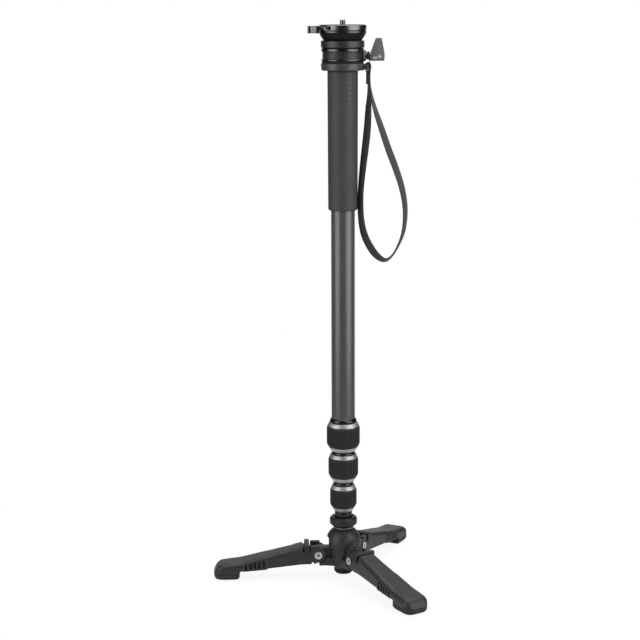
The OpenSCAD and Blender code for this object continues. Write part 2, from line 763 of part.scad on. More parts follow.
// Wrist strap: [x, y, z, turn of the band about its own line], from the sewn tail,
// over the lug's bar, round the loop and back up between the plies
strap_drop = strap_collar_z - 563;
STRAP_ROUTE = [
    [25.6, 0, 549, 0], [25.4, 0, 555, 0], [25.2, 0, 560, 0], [24.7, 0, 564, 0], [24.65, 0, 568, 0],
    [25.5, 0, 570.1, 0], [27.2, 0, 570.75, 0], [28.9, 0, 570.1, 0], [29.75, 0, 568, 0],
    [29.6, 0, 563.5, 0], [28.9, 0, 560, 0], [28.8, 0, 555, 0], [28.9, 0, 549, 0], [31, 0, 536, 12],
    [35.5, -0.5, 521, 25], [42, -1, 500, 33], [49.5, -1, 478, 36], [57.5, -1, 457, 34],
    [64, 0, 435, 28], [67, 0, 413, 22], [65.5, 0, 391, 15], [60.5, 0, 375, 8], [53, 0, 362.5, 8],
    [44.5, -0.5, 357.5, 20], [36.5, -1, 363, 33], [29, -1.5, 373.5, 38], [23.5, -2, 386, 34],
    [20.5, -2.5, 400, 28], [19.5, -3, 416, 24], [19.8, -3, 435, 24], [21.4, -2.5, 457, 28],
    [23.6, -2, 478, 32], [25.6, -1.5, 500, 32], [26.8, -0.5, 521, 22], [27.1, 0, 537, 8],
    [27.2, 0, 549, 0], [27.1, 0, 557, 0]
];

function unit(v) = v / norm(v);
function route_point(i) = [STRAP_ROUTE[i][0], STRAP_ROUTE[i][1], STRAP_ROUTE[i][2] + strap_drop];
module wrist_strap() {
    last = len(STRAP_ROUTE) - 1;
    c = strap_t * 0.3;
    w = strap_w / 2;
    t = strap_t / 2;
    section = [[w, t - c], [w - c, t], [c - w, t], [-w, t - c],
        [-w, c - t], [c - w, -t], [w - c, -t], [w, c - t]];
    n = len(section);
    rings = [for (i = [0:last])
        let (along = unit(route_point(min(i + 1, last)) - route_point(max(i - 1, 0))),
            across = unit([0, 1, 0] - along * along[1]),
            up = cross(along, across),
            a = STRAP_ROUTE[i][3])
        for (p = section)
            route_point(i) + (across * cos(a) + up * sin(a)) * p[0]
                + (up * cos(a) - across * sin(a)) * p[1]];
    sides = [for (i = [0:last - 1], k = [0:n - 1])
        let (a = i * n + k, b = i * n + (k + 1) % n)
        each [[a, b, b + n], [a, b + n, a + n]]];
    start = [for (k = [1:n - 2]) [0, k + 1, k]];
    end = [for (k = [1:n - 2]) [last * n, last * n + k, last * n + k + 1]];
    color([0.13, 0.13, 0.14]) polyhedron(rings, concat(sides, start, end));
}

// Plug glued in the top tube, with a flange under the head
flange_rise = head_z - column_top - seam;
stud_r = 4.76;
module tube_plug() {
    color(black_metal) difference() {
        union() {
            translate([0, 0, column_top - plug_depth]) cylinder(h = plug_depth + eps, r = bore_r(1));
            translate([0, 0, column_top]) cylinder(h = flange_rise, r = plug_flange_r);
        }
        translate([0, 0, column_top - plug_depth - 1])
            cylinder(h = plug_depth + flange_rise + 3, r = stud_r);
    }
}

// Threaded stud between the plug and the head
stud_rise = 3.6;
module head_stud() {
    color(bright_metal) translate([0, 0, column_top - plug_depth])
        cylinder(h = plug_depth + flange_rise + stud_rise, r = stud_r);
}

// Head body: two rims with a waist, hollow above for the ball's retainer
cavity_z = head_z + stud_rise + 0.6;
head_wall = 2.3;
cavity_r = head_r - waist_depth - head_wall;
rabbet_r = cavity_r + 1.3;
rabbet_h = 2;
knob_boss_r = 5;
knob_reach = head_r + 2.4;
waist_z0 = head_z + 2.6;
waist_z1 = head_top - 3.8;
module head_base() {
    waist_r = head_r - waist_depth;
    color(black_metal) difference() {
        union() {
            turned([
                [0, head_z], [head_r - chamfer, head_z], [head_r, head_z + chamfer],
                [head_r, waist_z0 - chamfer], [waist_r, waist_z0], [waist_r, waist_z1],
                [head_r, waist_z1 + chamfer], [head_r, head_top - chamfer], [head_r - chamfer, head_top],
                [0, head_top]
            ]);
            translate([0, 0, knob_z]) rotate([0, 90, 0]) cylinder(h = knob_reach - 1, r = knob_boss_r);
        }
        translate([0, 0, cavity_z]) cylinder(h = head_h, r = cavity_r);
        translate([0, 0, head_top - rabbet_h]) cylinder(h = head_h, r = rabbet_r);
        translate([0, 0, head_z - 1]) cylinder(h = stud_rise + 2, r = stud_r + fit);
        translate([shoe_r0 - free, 0, knob_z]) rotate([0, 90, 0]) cylinder(h = 2 * head_r, r = bush_r);
    }
}

// Bush in the boss that carries the paddle's screw
bush_r = paddle_screw_r + 1;
bush_r0 = cavity_r + 1;
module knob_bush() {
    color(black_metal) translate([0, 0, knob_z]) rotate([0, 90, 0]) difference() {
        union() {
            translate([0, 0, bush_r0]) cylinder(h = knob_reach - bush_r0, r = bush_r);
            translate([0, 0, knob_reach - 1]) cylinder(h = 1, r = knob_boss_r);
        }
        cylinder(h = 2 * head_r, r = paddle_screw_r + fit);
    }
}

// Brake shoe at the inner end of the paddle's screw, in the bush's bore
shoe_r0 = 15.6;
screw_r0 = 18.2;
module brake_shoe() {
    color([0.75, 0.6, 0.3]) translate([shoe_r0, 0, knob_z]) rotate([0, 90, 0])
        cylinder(h = screw_r0 - seam - shoe_r0, r = bush_r);
}

// Clamp ring: a spigot in the head's rabbet, and a ledge that carries the seat
seat_t = 3.2;
seat_in_r = half_ball_r + fit;
seat_out_r = seat_in_r + seat_t;
seat_edge_r = grip_circle_r + free;
ring_proud = 0.4;
module clamp_ring() {
    r = head_r + ring_proud;
    color(black_metal) difference() {
        turned([[cavity_r, head_top - rabbet_h], [rabbet_r, head_top - rabbet_h], [rabbet_r, clamp_ring_z],
            [r - chamfer, clamp_ring_z], [r, clamp_ring_z + chamfer], [r, clamp_ring_top - chamfer],
            [r - chamfer, clamp_ring_top],
            [cavity_r, clamp_ring_top]]);
        intersection() {
            translate([0, 0, level_z]) sphere(seat_out_r);
            translate([0, 0, head_z]) cylinder(h = half_ball_r, r = seat_edge_r);
        }
    }
}

// Slippery seat under the half ball, a piece of a spherical shell
bolt_r = 3;
seat_hole_r = half_ball_r * sin(level_max) + bolt_r + 2 * free;
module ball_seat() {
    color([0.85, 0.85, 0.82]) intersection() {
        translate([0, 0, level_z]) difference() {
            sphere(seat_out_r);
            sphere(seat_in_r);
        }
        sleeve(seat_edge_r, seat_hole_r, head_z, clamp_ring_top - chamfer);
    }
}

// Half ball with its flange under the plate, and a bearing ring that carries the plate
bearing_r = [14, 20];
bolt_recess = 5;
bolt_recess_r = 9;
module half_ball() {
    color(black_metal) difference() {
        union() {
            intersection() {
                translate([0, 0, level_z]) sphere(half_ball_r);
                translate([0, 0, flange_z - 2 * half_ball_r]) cylinder(h = 2 * half_ball_r, r = half_ball_r);
            }
            translate([0, 0, flange_z - eps]) cylinder(h = flange_t + eps, r = plate_r - seam);
            sleeve(bearing_r[1], bearing_r[0], flange_z, plate_z - fit);
        }
        translate([0, 0, level_z - 2 * half_ball_r]) cylinder(h = 3 * half_ball_r, r = bolt_r);
        translate([0, 0, flange_z - bolt_recess]) cylinder(h = half_ball_r, r = bolt_recess_r);
    }
}

// Bolt that ties the half ball to its retainer
retainer_r = seat_out_r + 3 * seam;
retainer_t = 2.6;
bolt_head_r = 5.5;
bolt_head_h = 3;
bolt_z = level_z - retainer_r - retainer_t - chamfer;
module ball_bolt() {
    color(bright_metal) union() {
        translate([0, 0, bolt_z]) cylinder(h = flange_z - bolt_recess + eps - bolt_z, r = bolt_r);
        translate([0, 0, flange_z - bolt_recess]) cylinder(h = bolt_head_h, r = bolt_head_r, $fn = 6);
    }
}

// Domed washer under the seat that follows the half ball
retainer_edge_r = retainer_r * sin(2 * level_max + 5);
module ball_retainer() {
    color(bright_metal) intersection() {
        translate([0, 0, level_z]) difference() {
            sphere(retainer_r + retainer_t);
            sphere(retainer_r);
        }
        sleeve(retainer_edge_r, bolt_r, level_z - 2 * half_ball_r, level_z - retainer_r * 0.6);
    }
}

// Lock paddle: a tapered wing on a short knurled neck
paddle_x0 = knob_reach + free;
paddle_neck_len = 3.4;
paddle_neck_r = 3.9;
wing_x0 = paddle_x0 + paddle_neck_len;
screw_sink = 7;
module lock_paddle() {
    foot_z = -5.4;
    foot_h = 9.3;
    lean = 6.8;
    corner = 1;
    color(paddle_grey) translate([0, 0, knob_z]) difference() {
        union() {
            translate([paddle_x0, 0, 0]) rotate([0, 90, 0])
                cylinder(h = paddle_neck_len + 2, r = paddle_neck_r);
            radial_plate(paddle_t) polygon([
                [wing_x0, foot_z], [wing_x0 + paddle_foot_w, foot_z],
                [wing_x0 + paddle_foot_w - chamfer, foot_z + foot_h],
                [wing_x0 + lean + paddle_top_w + corner / 2, paddle_rise - corner],
                [wing_x0 + lean + paddle_top_w - corner / 2, paddle_rise],
                [wing_x0 + lean + corner, paddle_rise], [wing_x0 + lean, paddle_rise - corner]
            ]);
        }
        translate([paddle_x0 - 1, 0, 0]) rotate([0, 90, 0]) cylinder(h = screw_sink + 1, r = paddle_screw_r);
    }
}

// Screw that the paddle turns
module paddle_screw() {
    color(bright_metal) translate([screw_r0, 0, knob_z]) rotate([0, 90, 0])
        cylinder(h = paddle_x0 + screw_sink - screw_r0, r = paddle_screw_r);
}

// Camera plate, cut away round the lever's pivot
lever_at = [-17.3, -14.5];
lever_room = 8.2;
lever_skin = 0.8;
screw_head_r = 6.5;
screw_head_h = 2;
screw_shoulder = 0.4;
pad_t = 1;
pad_r = plate_r - 2.2;
module camera_plate() {
    r = screw_d / 2;
    color(black_metal) difference() {
        turned([[0, plate_z], [plate_r - free, plate_z], [plate_r, plate_z + free],
            [plate_r, plate_top - chamfer], [plate_r - chamfer, plate_top], [0, plate_top]]);
        translate([lever_at[0], lever_at[1], plate_z + lever_skin])
            cylinder(h = plate_t - pad_t - 2 * lever_skin, r = lever_room);
        translate([0, 0, plate_z - 1]) cylinder(h = plate_t + 2, r = r + screw_shoulder);
        translate([0, 0, plate_z - 1]) cylinder(h = screw_head_h + 1 + 2 * seam, r = screw_head_r);
        translate([0, 0, plate_top - pad_t]) difference() {
            cylinder(h = pad_t + 1, r = pad_r);
            translate([0, 0, -1]) cylinder(h = pad_t + 3, r = screw_head_r);
        }
        translate([lever_at[0], lever_at[1], plate_z - 1]) cylinder(h = plate_t, r = lever_pin_r);
    }
}

// Rubber ring let into the plate's top
module plate_pad() {
    color(rubber) sleeve(pad_r, screw_head_r, plate_top - pad_t, plate_top);
}

// Camera screw with a captive head under the plate
module camera_screw() {
    r = screw_d / 2;
    color(bright_metal) union() {
        translate([0, 0, plate_z + 2 * seam]) cylinder(h = screw_head_h, r = screw_head_r - seam);
        translate([0, 0, plate_z + screw_head_h])
            cylinder(h = plate_t - screw_head_h, r = r + screw_shoulder);
        translate([0, 0, plate_top - eps]) cylinder(h = screw_len - chamfer + eps, r = r);
        translate([0, 0, plate_top + screw_len - chamfer]) cylinder(h = chamfer, r1 = r, r2 = r - chamfer);
    }
}

// Lever that locks the plate, on a pin in the plate's cut-away
lever_pin_r = 1.6;
lever_boss_r = 4;
lever_arm = 6.3;
lever_gap = 0.3;
lever_proud = 1.2;
lever_z0 = plate_z + lever_skin + lever_gap;
lever_h = plate_t - pad_t - 2 * (lever_skin + lever_gap);
module plate_lever() {
    drop = lever_z0 - flange_z;
    color(black_metal) translate([lever_at[0], lever_at[1], lever_z0]) difference() {
        union() {
            cylinder(h = lever_h, r = lever_boss_r);
            translate([-lever_len + 2, -lever_w / 2, 0]) cube([lever_len - 2, lever_w, lever_h]);
            translate([-(lever_len + lever_arm) / 2, 0, -drop]) linear_extrude(drop + lever_h + lever_proud)
                round_rect([lever_len - lever_arm, lever_w], 1.4);
        }
        translate([0, 0, -1]) cylinder(h = lever_h + 2, r = lever_pin_r + fit);
    }
}

// Pin that the lever swings on
module lever_pin() {
    color(bright_metal) translate([lever_at[0], lever_at[1], plate_z])
        cylinder(h = plate_t - pad_t, r = lever_pin_r);
}

hub();
hub_foot();
cup_plug();
hinge_pins();
hinge_screws();
ball_cup();
ball_stem();
dome_ring();
lock_collar();
leg(1);  // leg_1
leg(2);  // leg_2
leg(3);  // leg_3
sole(1);  // sole_1
sole(2);  // sole_2
sole(3);  // sole_3
leg_latch(1);  // leg_latch_1
leg_latch(2);  // leg_latch_2
leg_latch(3);  // leg_latch_3
tube(1);  // tube_1
tube(2);  // tube_2
tube(3);  // tube_3
tube(4);  // tube_4
guide_bush(2);  // guide_bush_2
guide_bush(3);  // guide_bush_3
guide_bush(4);  // guide_bush_4
ferrule(1);  // ferrule_1
ferrule(2);  // ferrule_2
ferrule(3);  // ferrule_3
collet(1);  // collet_1
collet(2);  // collet_2
collet(3);  // collet_3
lock_nut(1);  // lock_nut_1
lock_nut(2);  // lock_nut_2
lock_nut(3);  // lock_nut_3
lock_grip(1);  // lock_grip_1
lock_grip(2);  // lock_grip_2
lock_grip(3);  // lock_grip_3
grip_sleeve();
strap_collar();
wrist_strap();
tube_plug();
head_stud();
head_base();
knob_bush();
brake_shoe();
clamp_ring();
ball_seat();
half_ball();
ball_bolt();
ball_retainer();
lock_paddle();
paddle_screw();
camera_plate();
plate_pad();
camera_screw();
plate_lever();
lever_pin();
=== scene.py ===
"""Looks of a carbon monopod that stands on a folding three-legged base."""

import math

import bmesh
import bpy
from mathutils import Matrix, Vector


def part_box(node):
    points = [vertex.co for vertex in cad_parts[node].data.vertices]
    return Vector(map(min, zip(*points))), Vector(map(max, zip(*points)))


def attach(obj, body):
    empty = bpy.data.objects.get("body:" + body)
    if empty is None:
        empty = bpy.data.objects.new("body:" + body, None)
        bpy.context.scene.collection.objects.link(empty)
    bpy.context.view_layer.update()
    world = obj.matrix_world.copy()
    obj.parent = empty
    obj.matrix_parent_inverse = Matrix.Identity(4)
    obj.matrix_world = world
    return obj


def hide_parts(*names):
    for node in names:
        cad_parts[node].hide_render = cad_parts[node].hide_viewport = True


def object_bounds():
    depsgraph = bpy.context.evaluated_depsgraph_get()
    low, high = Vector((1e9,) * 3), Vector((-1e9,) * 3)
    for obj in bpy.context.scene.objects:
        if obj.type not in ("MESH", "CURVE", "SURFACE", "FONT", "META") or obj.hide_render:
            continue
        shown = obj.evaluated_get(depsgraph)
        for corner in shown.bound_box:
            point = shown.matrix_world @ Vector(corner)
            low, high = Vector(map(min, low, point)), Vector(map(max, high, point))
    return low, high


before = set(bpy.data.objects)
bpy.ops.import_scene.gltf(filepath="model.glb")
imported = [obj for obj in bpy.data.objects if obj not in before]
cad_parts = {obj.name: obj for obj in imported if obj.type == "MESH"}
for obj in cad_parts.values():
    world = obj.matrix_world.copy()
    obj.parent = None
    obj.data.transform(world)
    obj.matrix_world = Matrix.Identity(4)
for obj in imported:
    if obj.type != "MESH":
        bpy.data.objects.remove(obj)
cad_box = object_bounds()

# Base hub: a glass-filled nylon moulding, domed over the tilt ball, with a post below it and three tongues
# that the legs fork round. Its edges come softened out of the mould, and its skin has a fine satin grain.


class Wire:
    """A socket of a material's node tree; arithmetic on it adds Math nodes."""

    def __init__(self, tree, socket):
        self.tree = tree
        self.socket = socket

    def node(self, kind, settings=None, inputs=None, output=0):
        """Adds a node, sets it, then feeds it values or wires; returns one of its outputs."""
        made = self.tree.nodes.new(kind)
        for key, value in (settings or {}).items():
            setattr(made, key, value)
        for key, value in (inputs or {}).items():
            if isinstance(value, Wire):
                self.tree.links.new(value.socket, made.inputs[key])
            else:
                made.inputs[key].default_value = value
        return Wire(self.tree, made.outputs[output])

    def math(self, operation, *values):
        return self.node("ShaderNodeMath", {"operation": operation}, dict(enumerate(values)))

    def __add__(self, other):
        return self.math("ADD", self, other)

    __radd__ = __add__

    def __sub__(self, other):
        return self.math("SUBTRACT", self, other)

    def __rsub__(self, other):
        return self.math("SUBTRACT", other, self)

    def __mul__(self, other):
        return self.math("MULTIPLY", self, other)

    __rmul__ = __mul__

    def blend(self, low, high):
        """A colour between two, by this wire."""
        return self.node("ShaderNodeMix", {"data_type": "RGBA"}, {0: self, 6: low, 7: high}, 2)

    def relief(self, distance):
        """A bumped normal of this height."""
        return self.node("ShaderNodeBump", None, {"Strength": 1.0, "Distance": distance, "Height": self})

    def feed(self, shader, name):
        self.tree.links.new(self.socket, shader.inputs[name])


def finish(name, sockets):
    """A material with these values on its shader; returns it, its object coordinates and the shader."""
    material = bpy.data.materials.new(name)
    material.use_nodes = True
    tree = material.node_tree
    shader = tree.nodes["Principled BSDF"]
    for key, value in sockets.items():
        shader.inputs[key].default_value = value
    place = Wire(tree, tree.nodes.new("ShaderNodeTexCoord").outputs["Object"])
    return material, place, shader


def grey(level):
    """A neutral colour of this linear level."""
    return (level, level, level, 1.0)


def moulded(name, level, roughness, grain_scale, grain_height, sockets=None, painted_light=None):
    """A moulded plastic or rubber with a fine grain; an attribute paints shade or a highlight into its
    tone.
    """
    material, place, shader = finish(name, sockets or {})
    grain = place.node("ShaderNodeTexNoise", None, {"Vector": place, "Scale": grain_scale, "Detail": 3.0})
    cloud = place.node("ShaderNodeTexNoise", None, {"Vector": place, "Scale": 55.0, "Detail": 2.0})
    tone = cloud.blend(grey(level * 0.84), grey(level * 1.16))
    if painted_light:
        # Painted light: a mesh attribute scales the tone where shade or a highlight is painted on the
        # piece.
        painted_light_mask = place.node("ShaderNodeAttribute", {"attribute_name": painted_light[0]}, None, "Fac")
        tone = painted_light_mask.blend(tone, grey(level * painted_light[1]))
    tone.feed(shader, "Base Color")
    (roughness - 0.08 + 0.16 * grain).feed(shader, "Roughness")
    grain.relief(grain_height).feed(shader, "Normal")
    return material


sharp = math.radians(38.0)
bevel_steps = 3


def plain(piece):
    """Makes a piece's evaluated shape its own plain mesh, with smooth faces and sharp edges."""
    bpy.context.view_layer.update()
    shape = piece.evaluated_get(bpy.context.evaluated_depsgraph_get())
    mesh = bpy.data.meshes.new_from_object(shape)
    piece.modifiers.clear()
    piece.data = mesh
    mesh.shade_smooth()
    mesh.set_sharp_from_angle(angle=sharp)
    return piece


def new_piece(name, verts, faces):
    """An object of this mesh, at the origin."""
    mesh = bpy.data.meshes.new(name)
    mesh.from_pydata(verts, [], faces)
    piece = bpy.data.objects.new(name, mesh)
    bpy.context.collection.objects.link(piece)
    return piece


def rounded(piece, width, bore=0.0):
    """The piece with its sharp edges rounded, but for those inside a bore along the column."""
    shape = bmesh.new()
    shape.from_mesh(piece.data)
    weights = []
    for edge in shape.edges:
        spot = (edge.verts[0].co + edge.verts[1].co) / 2
        weights.append(1.0 if edge.calc_face_angle(0.0) > sharp and spot.xy.length >= bore else 0.0)
    shape.free()
    piece.data.attributes.new("bevel_weight_edge", "FLOAT", "EDGE").data.foreach_set("value", weights)
    rounding = piece.modifiers.new("Rounding", "BEVEL")
    rounding.width = width
    rounding.segments = bevel_steps
    rounding.limit_method = "WEIGHT"
    rounding.use_clamp_overlap = False
    rounding.miter_outer = "MITER_ARC"
    return plain(piece)


def merged(node, name):
    """A copy of a CAD node with its split corners joined and its flat faces whole."""
    shape = bmesh.new()
    shape.from_mesh(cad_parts[node].data)
    bmesh.ops.remove_doubles(shape, verts=shape.verts, dist=2e-6)
    bmesh.ops.dissolve_limit(shape, angle_limit=math.radians(0.6), verts=shape.verts, edges=shape.edges)
    piece = new_piece(name, [], [])
    shape.to_mesh(piece.data)
    shape.free()
    if piece.data.attributes.get("custom_normal"):
        piece.data.attributes.remove(piece.data.attributes["custom_normal"])
    return piece


def softened(node, name, width, bore=0.0):
    """A copy of a CAD node with its sharp edges rounded."""
    return rounded(merged(node, name), width, bore)


def fitted(piece, material, body, slot, *nodes):
    """Gives a piece its material and body, and hides the nodes it stands for. Its finish slot is not used.
    """
    piece.data.materials.clear()
    piece.data.materials.append(material)
    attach(piece, body)
    if nodes:
        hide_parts(*nodes)


# The plastic is painted near black where a leg's slot attribute is set: painted shade down in its side
# slots.
moulded_plastic = moulded("moulded_plastic", 0.022, 0.44, 1500.0, 0.00004, {"Specular IOR Level": 0.45},
                          ("slot", 0.08))
hub_bore = 0.0125
lip_r = 0.0073
lip_low = 0.0405
lip_high = 0.0412
lip_ease = 1.03
hub = softened("hub", "hub_moulding", 0.0005, hub_bore)
for point in hub.data.vertices:
    if point.co.xy.length < lip_r and lip_low < point.co.z < lip_high:
        point.co.x *= lip_ease
        point.co.y *= lip_ease
fitted(hub, moulded_plastic, "base", "moulded_plastic", "hub")

# Hub tip: a rubber button pushed up into the hub's post. It takes the weight when the legs are folded
# and the monopod is used without them.
soft_rubber = moulded("soft_rubber", 0.018, 0.72, 2400.0, 0.00005, {"Specular IOR Level": 0.2})
fitted(softened("hub_foot", "hub_tip", 0.0006), soft_rubber, "base", "rubber", "hub_foot")

# Legs: three nylon mouldings that fork round the hub's tongues, with slots in their sides and broad feet.
# Each keeps the draft of its mould, and its top and toe run into each other in one soft sweep.


def cut(piece, place, away):
    """The part of a piece beyond a plane, closed again."""
    shape = bmesh.new()
    shape.from_mesh(piece.data)
    made = bmesh.ops.bisect_plane(shape, geom=shape.verts[:] + shape.edges[:] + shape.faces[:],
                                  plane_co=place, plane_no=away, clear_inner=True)
    rim = [part for part in made["geom_cut"] if isinstance(part, bmesh.types.BMEdge)]
    bmesh.ops.edgenet_fill(shape, edges=rim)
    bmesh.ops.recalc_face_normals(shape, faces=shape.faces)
    shape.to_mesh(piece.data)
    shape.free()
    return piece


skin_pitch = 0.0006


def worn(piece, passes, sink=None):
    """A piece as a fine skin, sunk by a rule, then smoothed in passes of (rounds, which points)."""
    skin = piece.modifiers.new("Skin", "REMESH")
    skin.mode = "VOXEL"
    skin.voxel_size = skin_pitch
    plain(piece)
    shape = bmesh.new()
    shape.from_mesh(piece.data)
    if sink:
        for point in shape.verts:
            point.co.z -= sink(point.co)
    for rounds, test in passes:
        chosen = [point for point in shape.verts if test(point.co)]
        for step in range(rounds):
            bmesh.ops.smooth_vert(shape, verts=chosen, factor=0.5, use_axis_x=True, use_axis_y=True,
                                  use_axis_z=True)
    shape.to_mesh(piece.data)
    shape.free()
    piece.data.shade_smooth()
    return piece


leg_turns = {1: 182.4, 2: 62.4, 3: -57.6}
root_end = 0.0505
skin_start = 0.0493
top_start = 0.056
top_skin = 0.0042
ramp_r = 0.08689
ramp_z = 0.02297
ramp_fall = 0.25
arm_half = 0.01402
arm_flare = 0.0337
slot_from = 0.0885
slot_to = 0.1125
slot_low = 0.0075
slot_roof = 0.0032
slot_floor = 0.0105
slot_lip = 0.0006
heel_r = 0.116
toe_r = 0.1472
toe_bend = 0.0105
toe_fall = 0.06
foot_low = 0.002
foot_high = 0.0145
sole_line = 0.0045


def leg_top(reach):
    """The height of a leg's top at this reach from the column."""
    return ramp_z - ramp_fall * (reach - ramp_r)


def on_top(reach, height):
    """Is a point in the skin of a leg's top, or of its foot above the sole?"""
    on_foot = reach > heel_r - 0.002 and height > sole_line
    return reach > top_start and (height > leg_top(reach) - top_skin or on_foot)


def toe_drop(reach, height):
    """How far the foot's top lies below the CAD's there."""
    if reach < heel_r or height < foot_low:
        return 0.0
    past = max(0.0, reach - toe_r + toe_bend)
    drop = toe_fall * (reach - heel_r) + toe_bend - math.sqrt(max(0.0, toe_bend ** 2 - past ** 2))
    return drop * (height - foot_low) / (foot_high - foot_low)


def in_slot(reach, aside, height):
    """Is a point down in one of the slots in a leg's sides?"""
    side = arm_half + arm_flare * (reach - ramp_r)
    within = slot_from < reach < slot_to and slot_low < height < leg_top(reach) - slot_roof
    return within and slot_floor < aside < side - slot_lip


for number, turn in leg_turns.items():
    out = Vector((math.cos(math.radians(turn)), math.sin(math.radians(turn)), 0.0))
    arm = cut(merged(f"leg_{number}", "leg_skin"), out * skin_start, out)
    worn(arm, ((2, lambda point: True), (50, lambda point: on_top(point.dot(out), point.z))),
         lambda point: toe_drop(point.dot(out), point.z))
    leg = rounded(cut(merged(f"leg_{number}", f"leg_arm_{number}"), out * root_end, -out), 0.0005)
    shape = bmesh.new()
    shape.from_mesh(leg.data)
    shape.from_mesh(arm.data)
    shape.to_mesh(leg.data)
    shape.free()
    bpy.data.objects.remove(arm)
    # Painted shade: points down in the side slots are marked, and the plastic is painted near black there.
    slot_shade = []
    for point in leg.data.vertices:
        aside = abs(point.co.x * out.y - point.co.y * out.x)
        slot_shade.append(1.0 if in_slot(point.co.dot(out), aside, point.co.z) else 0.0)
    leg.data.attributes.new("slot", "FLOAT", "POINT").data.foreach_set("value", slot_shade)
    fitted(leg, moulded_plastic, f"leg_{number}", "moulded_plastic", f"leg_{number}")

# Soles: rubber blocks pressed up into the feet and held by their own grip. Fine grooves run round their
# sides, as the mould leaves them, and painted shade darkens their colour down in the grooves.


def grooved(name, level, pitch):
    """A rubber with level grooves round it, painted shade in them, and a dull, dusty skin."""
    material, place, shader = finish(name, {"Specular IOR Level": 0.2})
    height = place.node("ShaderNodeSeparateXYZ", None, {0: place}, "Z")
    wave = place.math("SINE", height * (math.tau / pitch))
    dust = place.node("ShaderNodeTexNoise", None, {"Vector": place, "Scale": 700.0, "Detail": 4.0})
    # Painted shade: the groove wave also darkens the colour down in each groove.
    (0.35 + 0.25 * wave + 0.4 * dust).blend(grey(level * 0.7), grey(level * 1.4)).feed(shader, "Base Color")
    (0.68 + 0.14 * dust).feed(shader, "Roughness")
    (wave + 0.3 * dust).relief(0.00022).feed(shader, "Normal")
    return material


sole_rubber = grooved("sole_rubber", 0.05, 0.0022)
for number in (1, 2, 3):
    sole = worn(merged(f"sole_{number}", f"foot_sole_{number}"), ((60, lambda point: point.z < 0.0),))
    fitted(sole, sole_rubber, f"leg_{number}", "rubber", f"sole_{number}")

# Latch bars: anodised aluminium saddles over the roots of the legs, each with a nose that drops behind the
# hub's tongue. They slide out against a spring to free the fold.


def machined(name, level, metallic, roughness, dark_from=None):
    """A turned metal with fine lines round the column; it can be near black beyond a radius."""
    material, place, shader = finish(name, {"Metallic": metallic})
    flat = place.node("ShaderNodeVectorMath", {"operation": "MULTIPLY"}, {0: place, 1: (1.0, 1.0, 0.0)})
    radius = place.node("ShaderNodeVectorMath", {"operation": "LENGTH"}, {0: flat}, "Value")
    height = place.node("ShaderNodeSeparateXYZ", None, {0: place}, "Z")
    lines = place.node("ShaderNodeTexNoise", {"noise_dimensions": "1D"},
                       {"W": (radius + height) * 5200.0, "Detail": 2.0})
    cloud = place.node("ShaderNodeTexNoise", None, {"Vector": place, "Scale": 80.0, "Detail": 2.0})
    tone = (0.55 * cloud + 0.45 * lines).blend(grey(level * 0.85), grey(level * 1.15))
    if dark_from:
        tone = place.math("GREATER_THAN", radius, dark_from).blend(tone, grey(0.008))
    tone.feed(shader, "Base Color")
    (roughness - 0.06 + 0.12 * lines).feed(shader, "Roughness")
    lines.relief(0.000006).feed(shader, "Normal")
    return material


latch_black = machined("latch_black", 0.022, 0.3, 0.46)
for number in (1, 2, 3):
    latch = softened(f"leg_latch_{number}", f"latch_bar_{number}", 0.0004)
    fitted(latch, latch_black, f"latch_{number}", "black_aluminium", f"leg_latch_{number}")

# Hinge pins: bright steel barrels through the fork of each leg. The screws in their other ends hold them,
# and a flat dark disc in the middle of each head is painted shade, standing for the shade down its key
# socket.
bright_steel = machined("bright_steel", 0.58, 1.0, 0.34)
fitted(softened("hinge_pins", "hinge_barrels", 0.0003), bright_steel, "base", "steel", "hinge_pins")
fitted(softened("hinge_screws", "hinge_screw_heads", 0.0003), bright_steel, "base", "steel", "hinge_screws")
hinge_r = 0.0289
hinge_z = 0.023
socket_r = 0.0011
socket_at = 0.0121
socket_steps = 24
verts = []
faces = []
for turn in leg_turns.values():
    swing = Matrix.Rotation(math.radians(turn), 4, "Z")
    for side in (-1, 1):
        first = len(verts)
        for step in range(socket_steps):
            way = math.tau * step / socket_steps
            verts.append(swing @ Vector((hinge_r + socket_r * math.cos(way), side * socket_at,
                                         hinge_z + socket_r * math.sin(way))))
        faces.append(tuple(range(first, first + socket_steps)[::side]))
# Painted shade: a flat dark rubber disc in each pin's head stands in for the shade down its key socket.
fitted(new_piece("hinge_socket_shade", verts, faces), soft_rubber, "base", "rubber")

# Base lock: a black neck on the tilt ball, a thin bright ring on the hub's dome and a satin black collar,
# which presses the ring down to lock the column's tilt and pan.
satin_black = machined("satin_black", 0.024, 0.4, 0.44)
bright_turned = machined("bright_turned", 0.50, 1.0, 0.52)
gloss_black = machined("gloss_black", 0.045, 1.0, 0.24)
ring_metal = machined("ring_metal", 0.16, 1.0, 0.24)
fitted(softened("ball_stem", "tilt_neck", 0.00005), gloss_black, "lower_tube", "black_aluminium",
       "ball_stem")
fitted(softened("dome_ring", "bright_ring", 0.0001), ring_metal, "base_collar", "bright_aluminium",
       "dome_ring")
fitted(softened("lock_collar", "base_lock_collar", 0.0004), satin_black, "base_collar", "black_aluminium",
       "lock_collar")

# Column tubes: four tubes of carbon cloth in resin, rolled and baked, that slide in each other.
# The cloth shows as small light and dark diamonds under a satin resin.


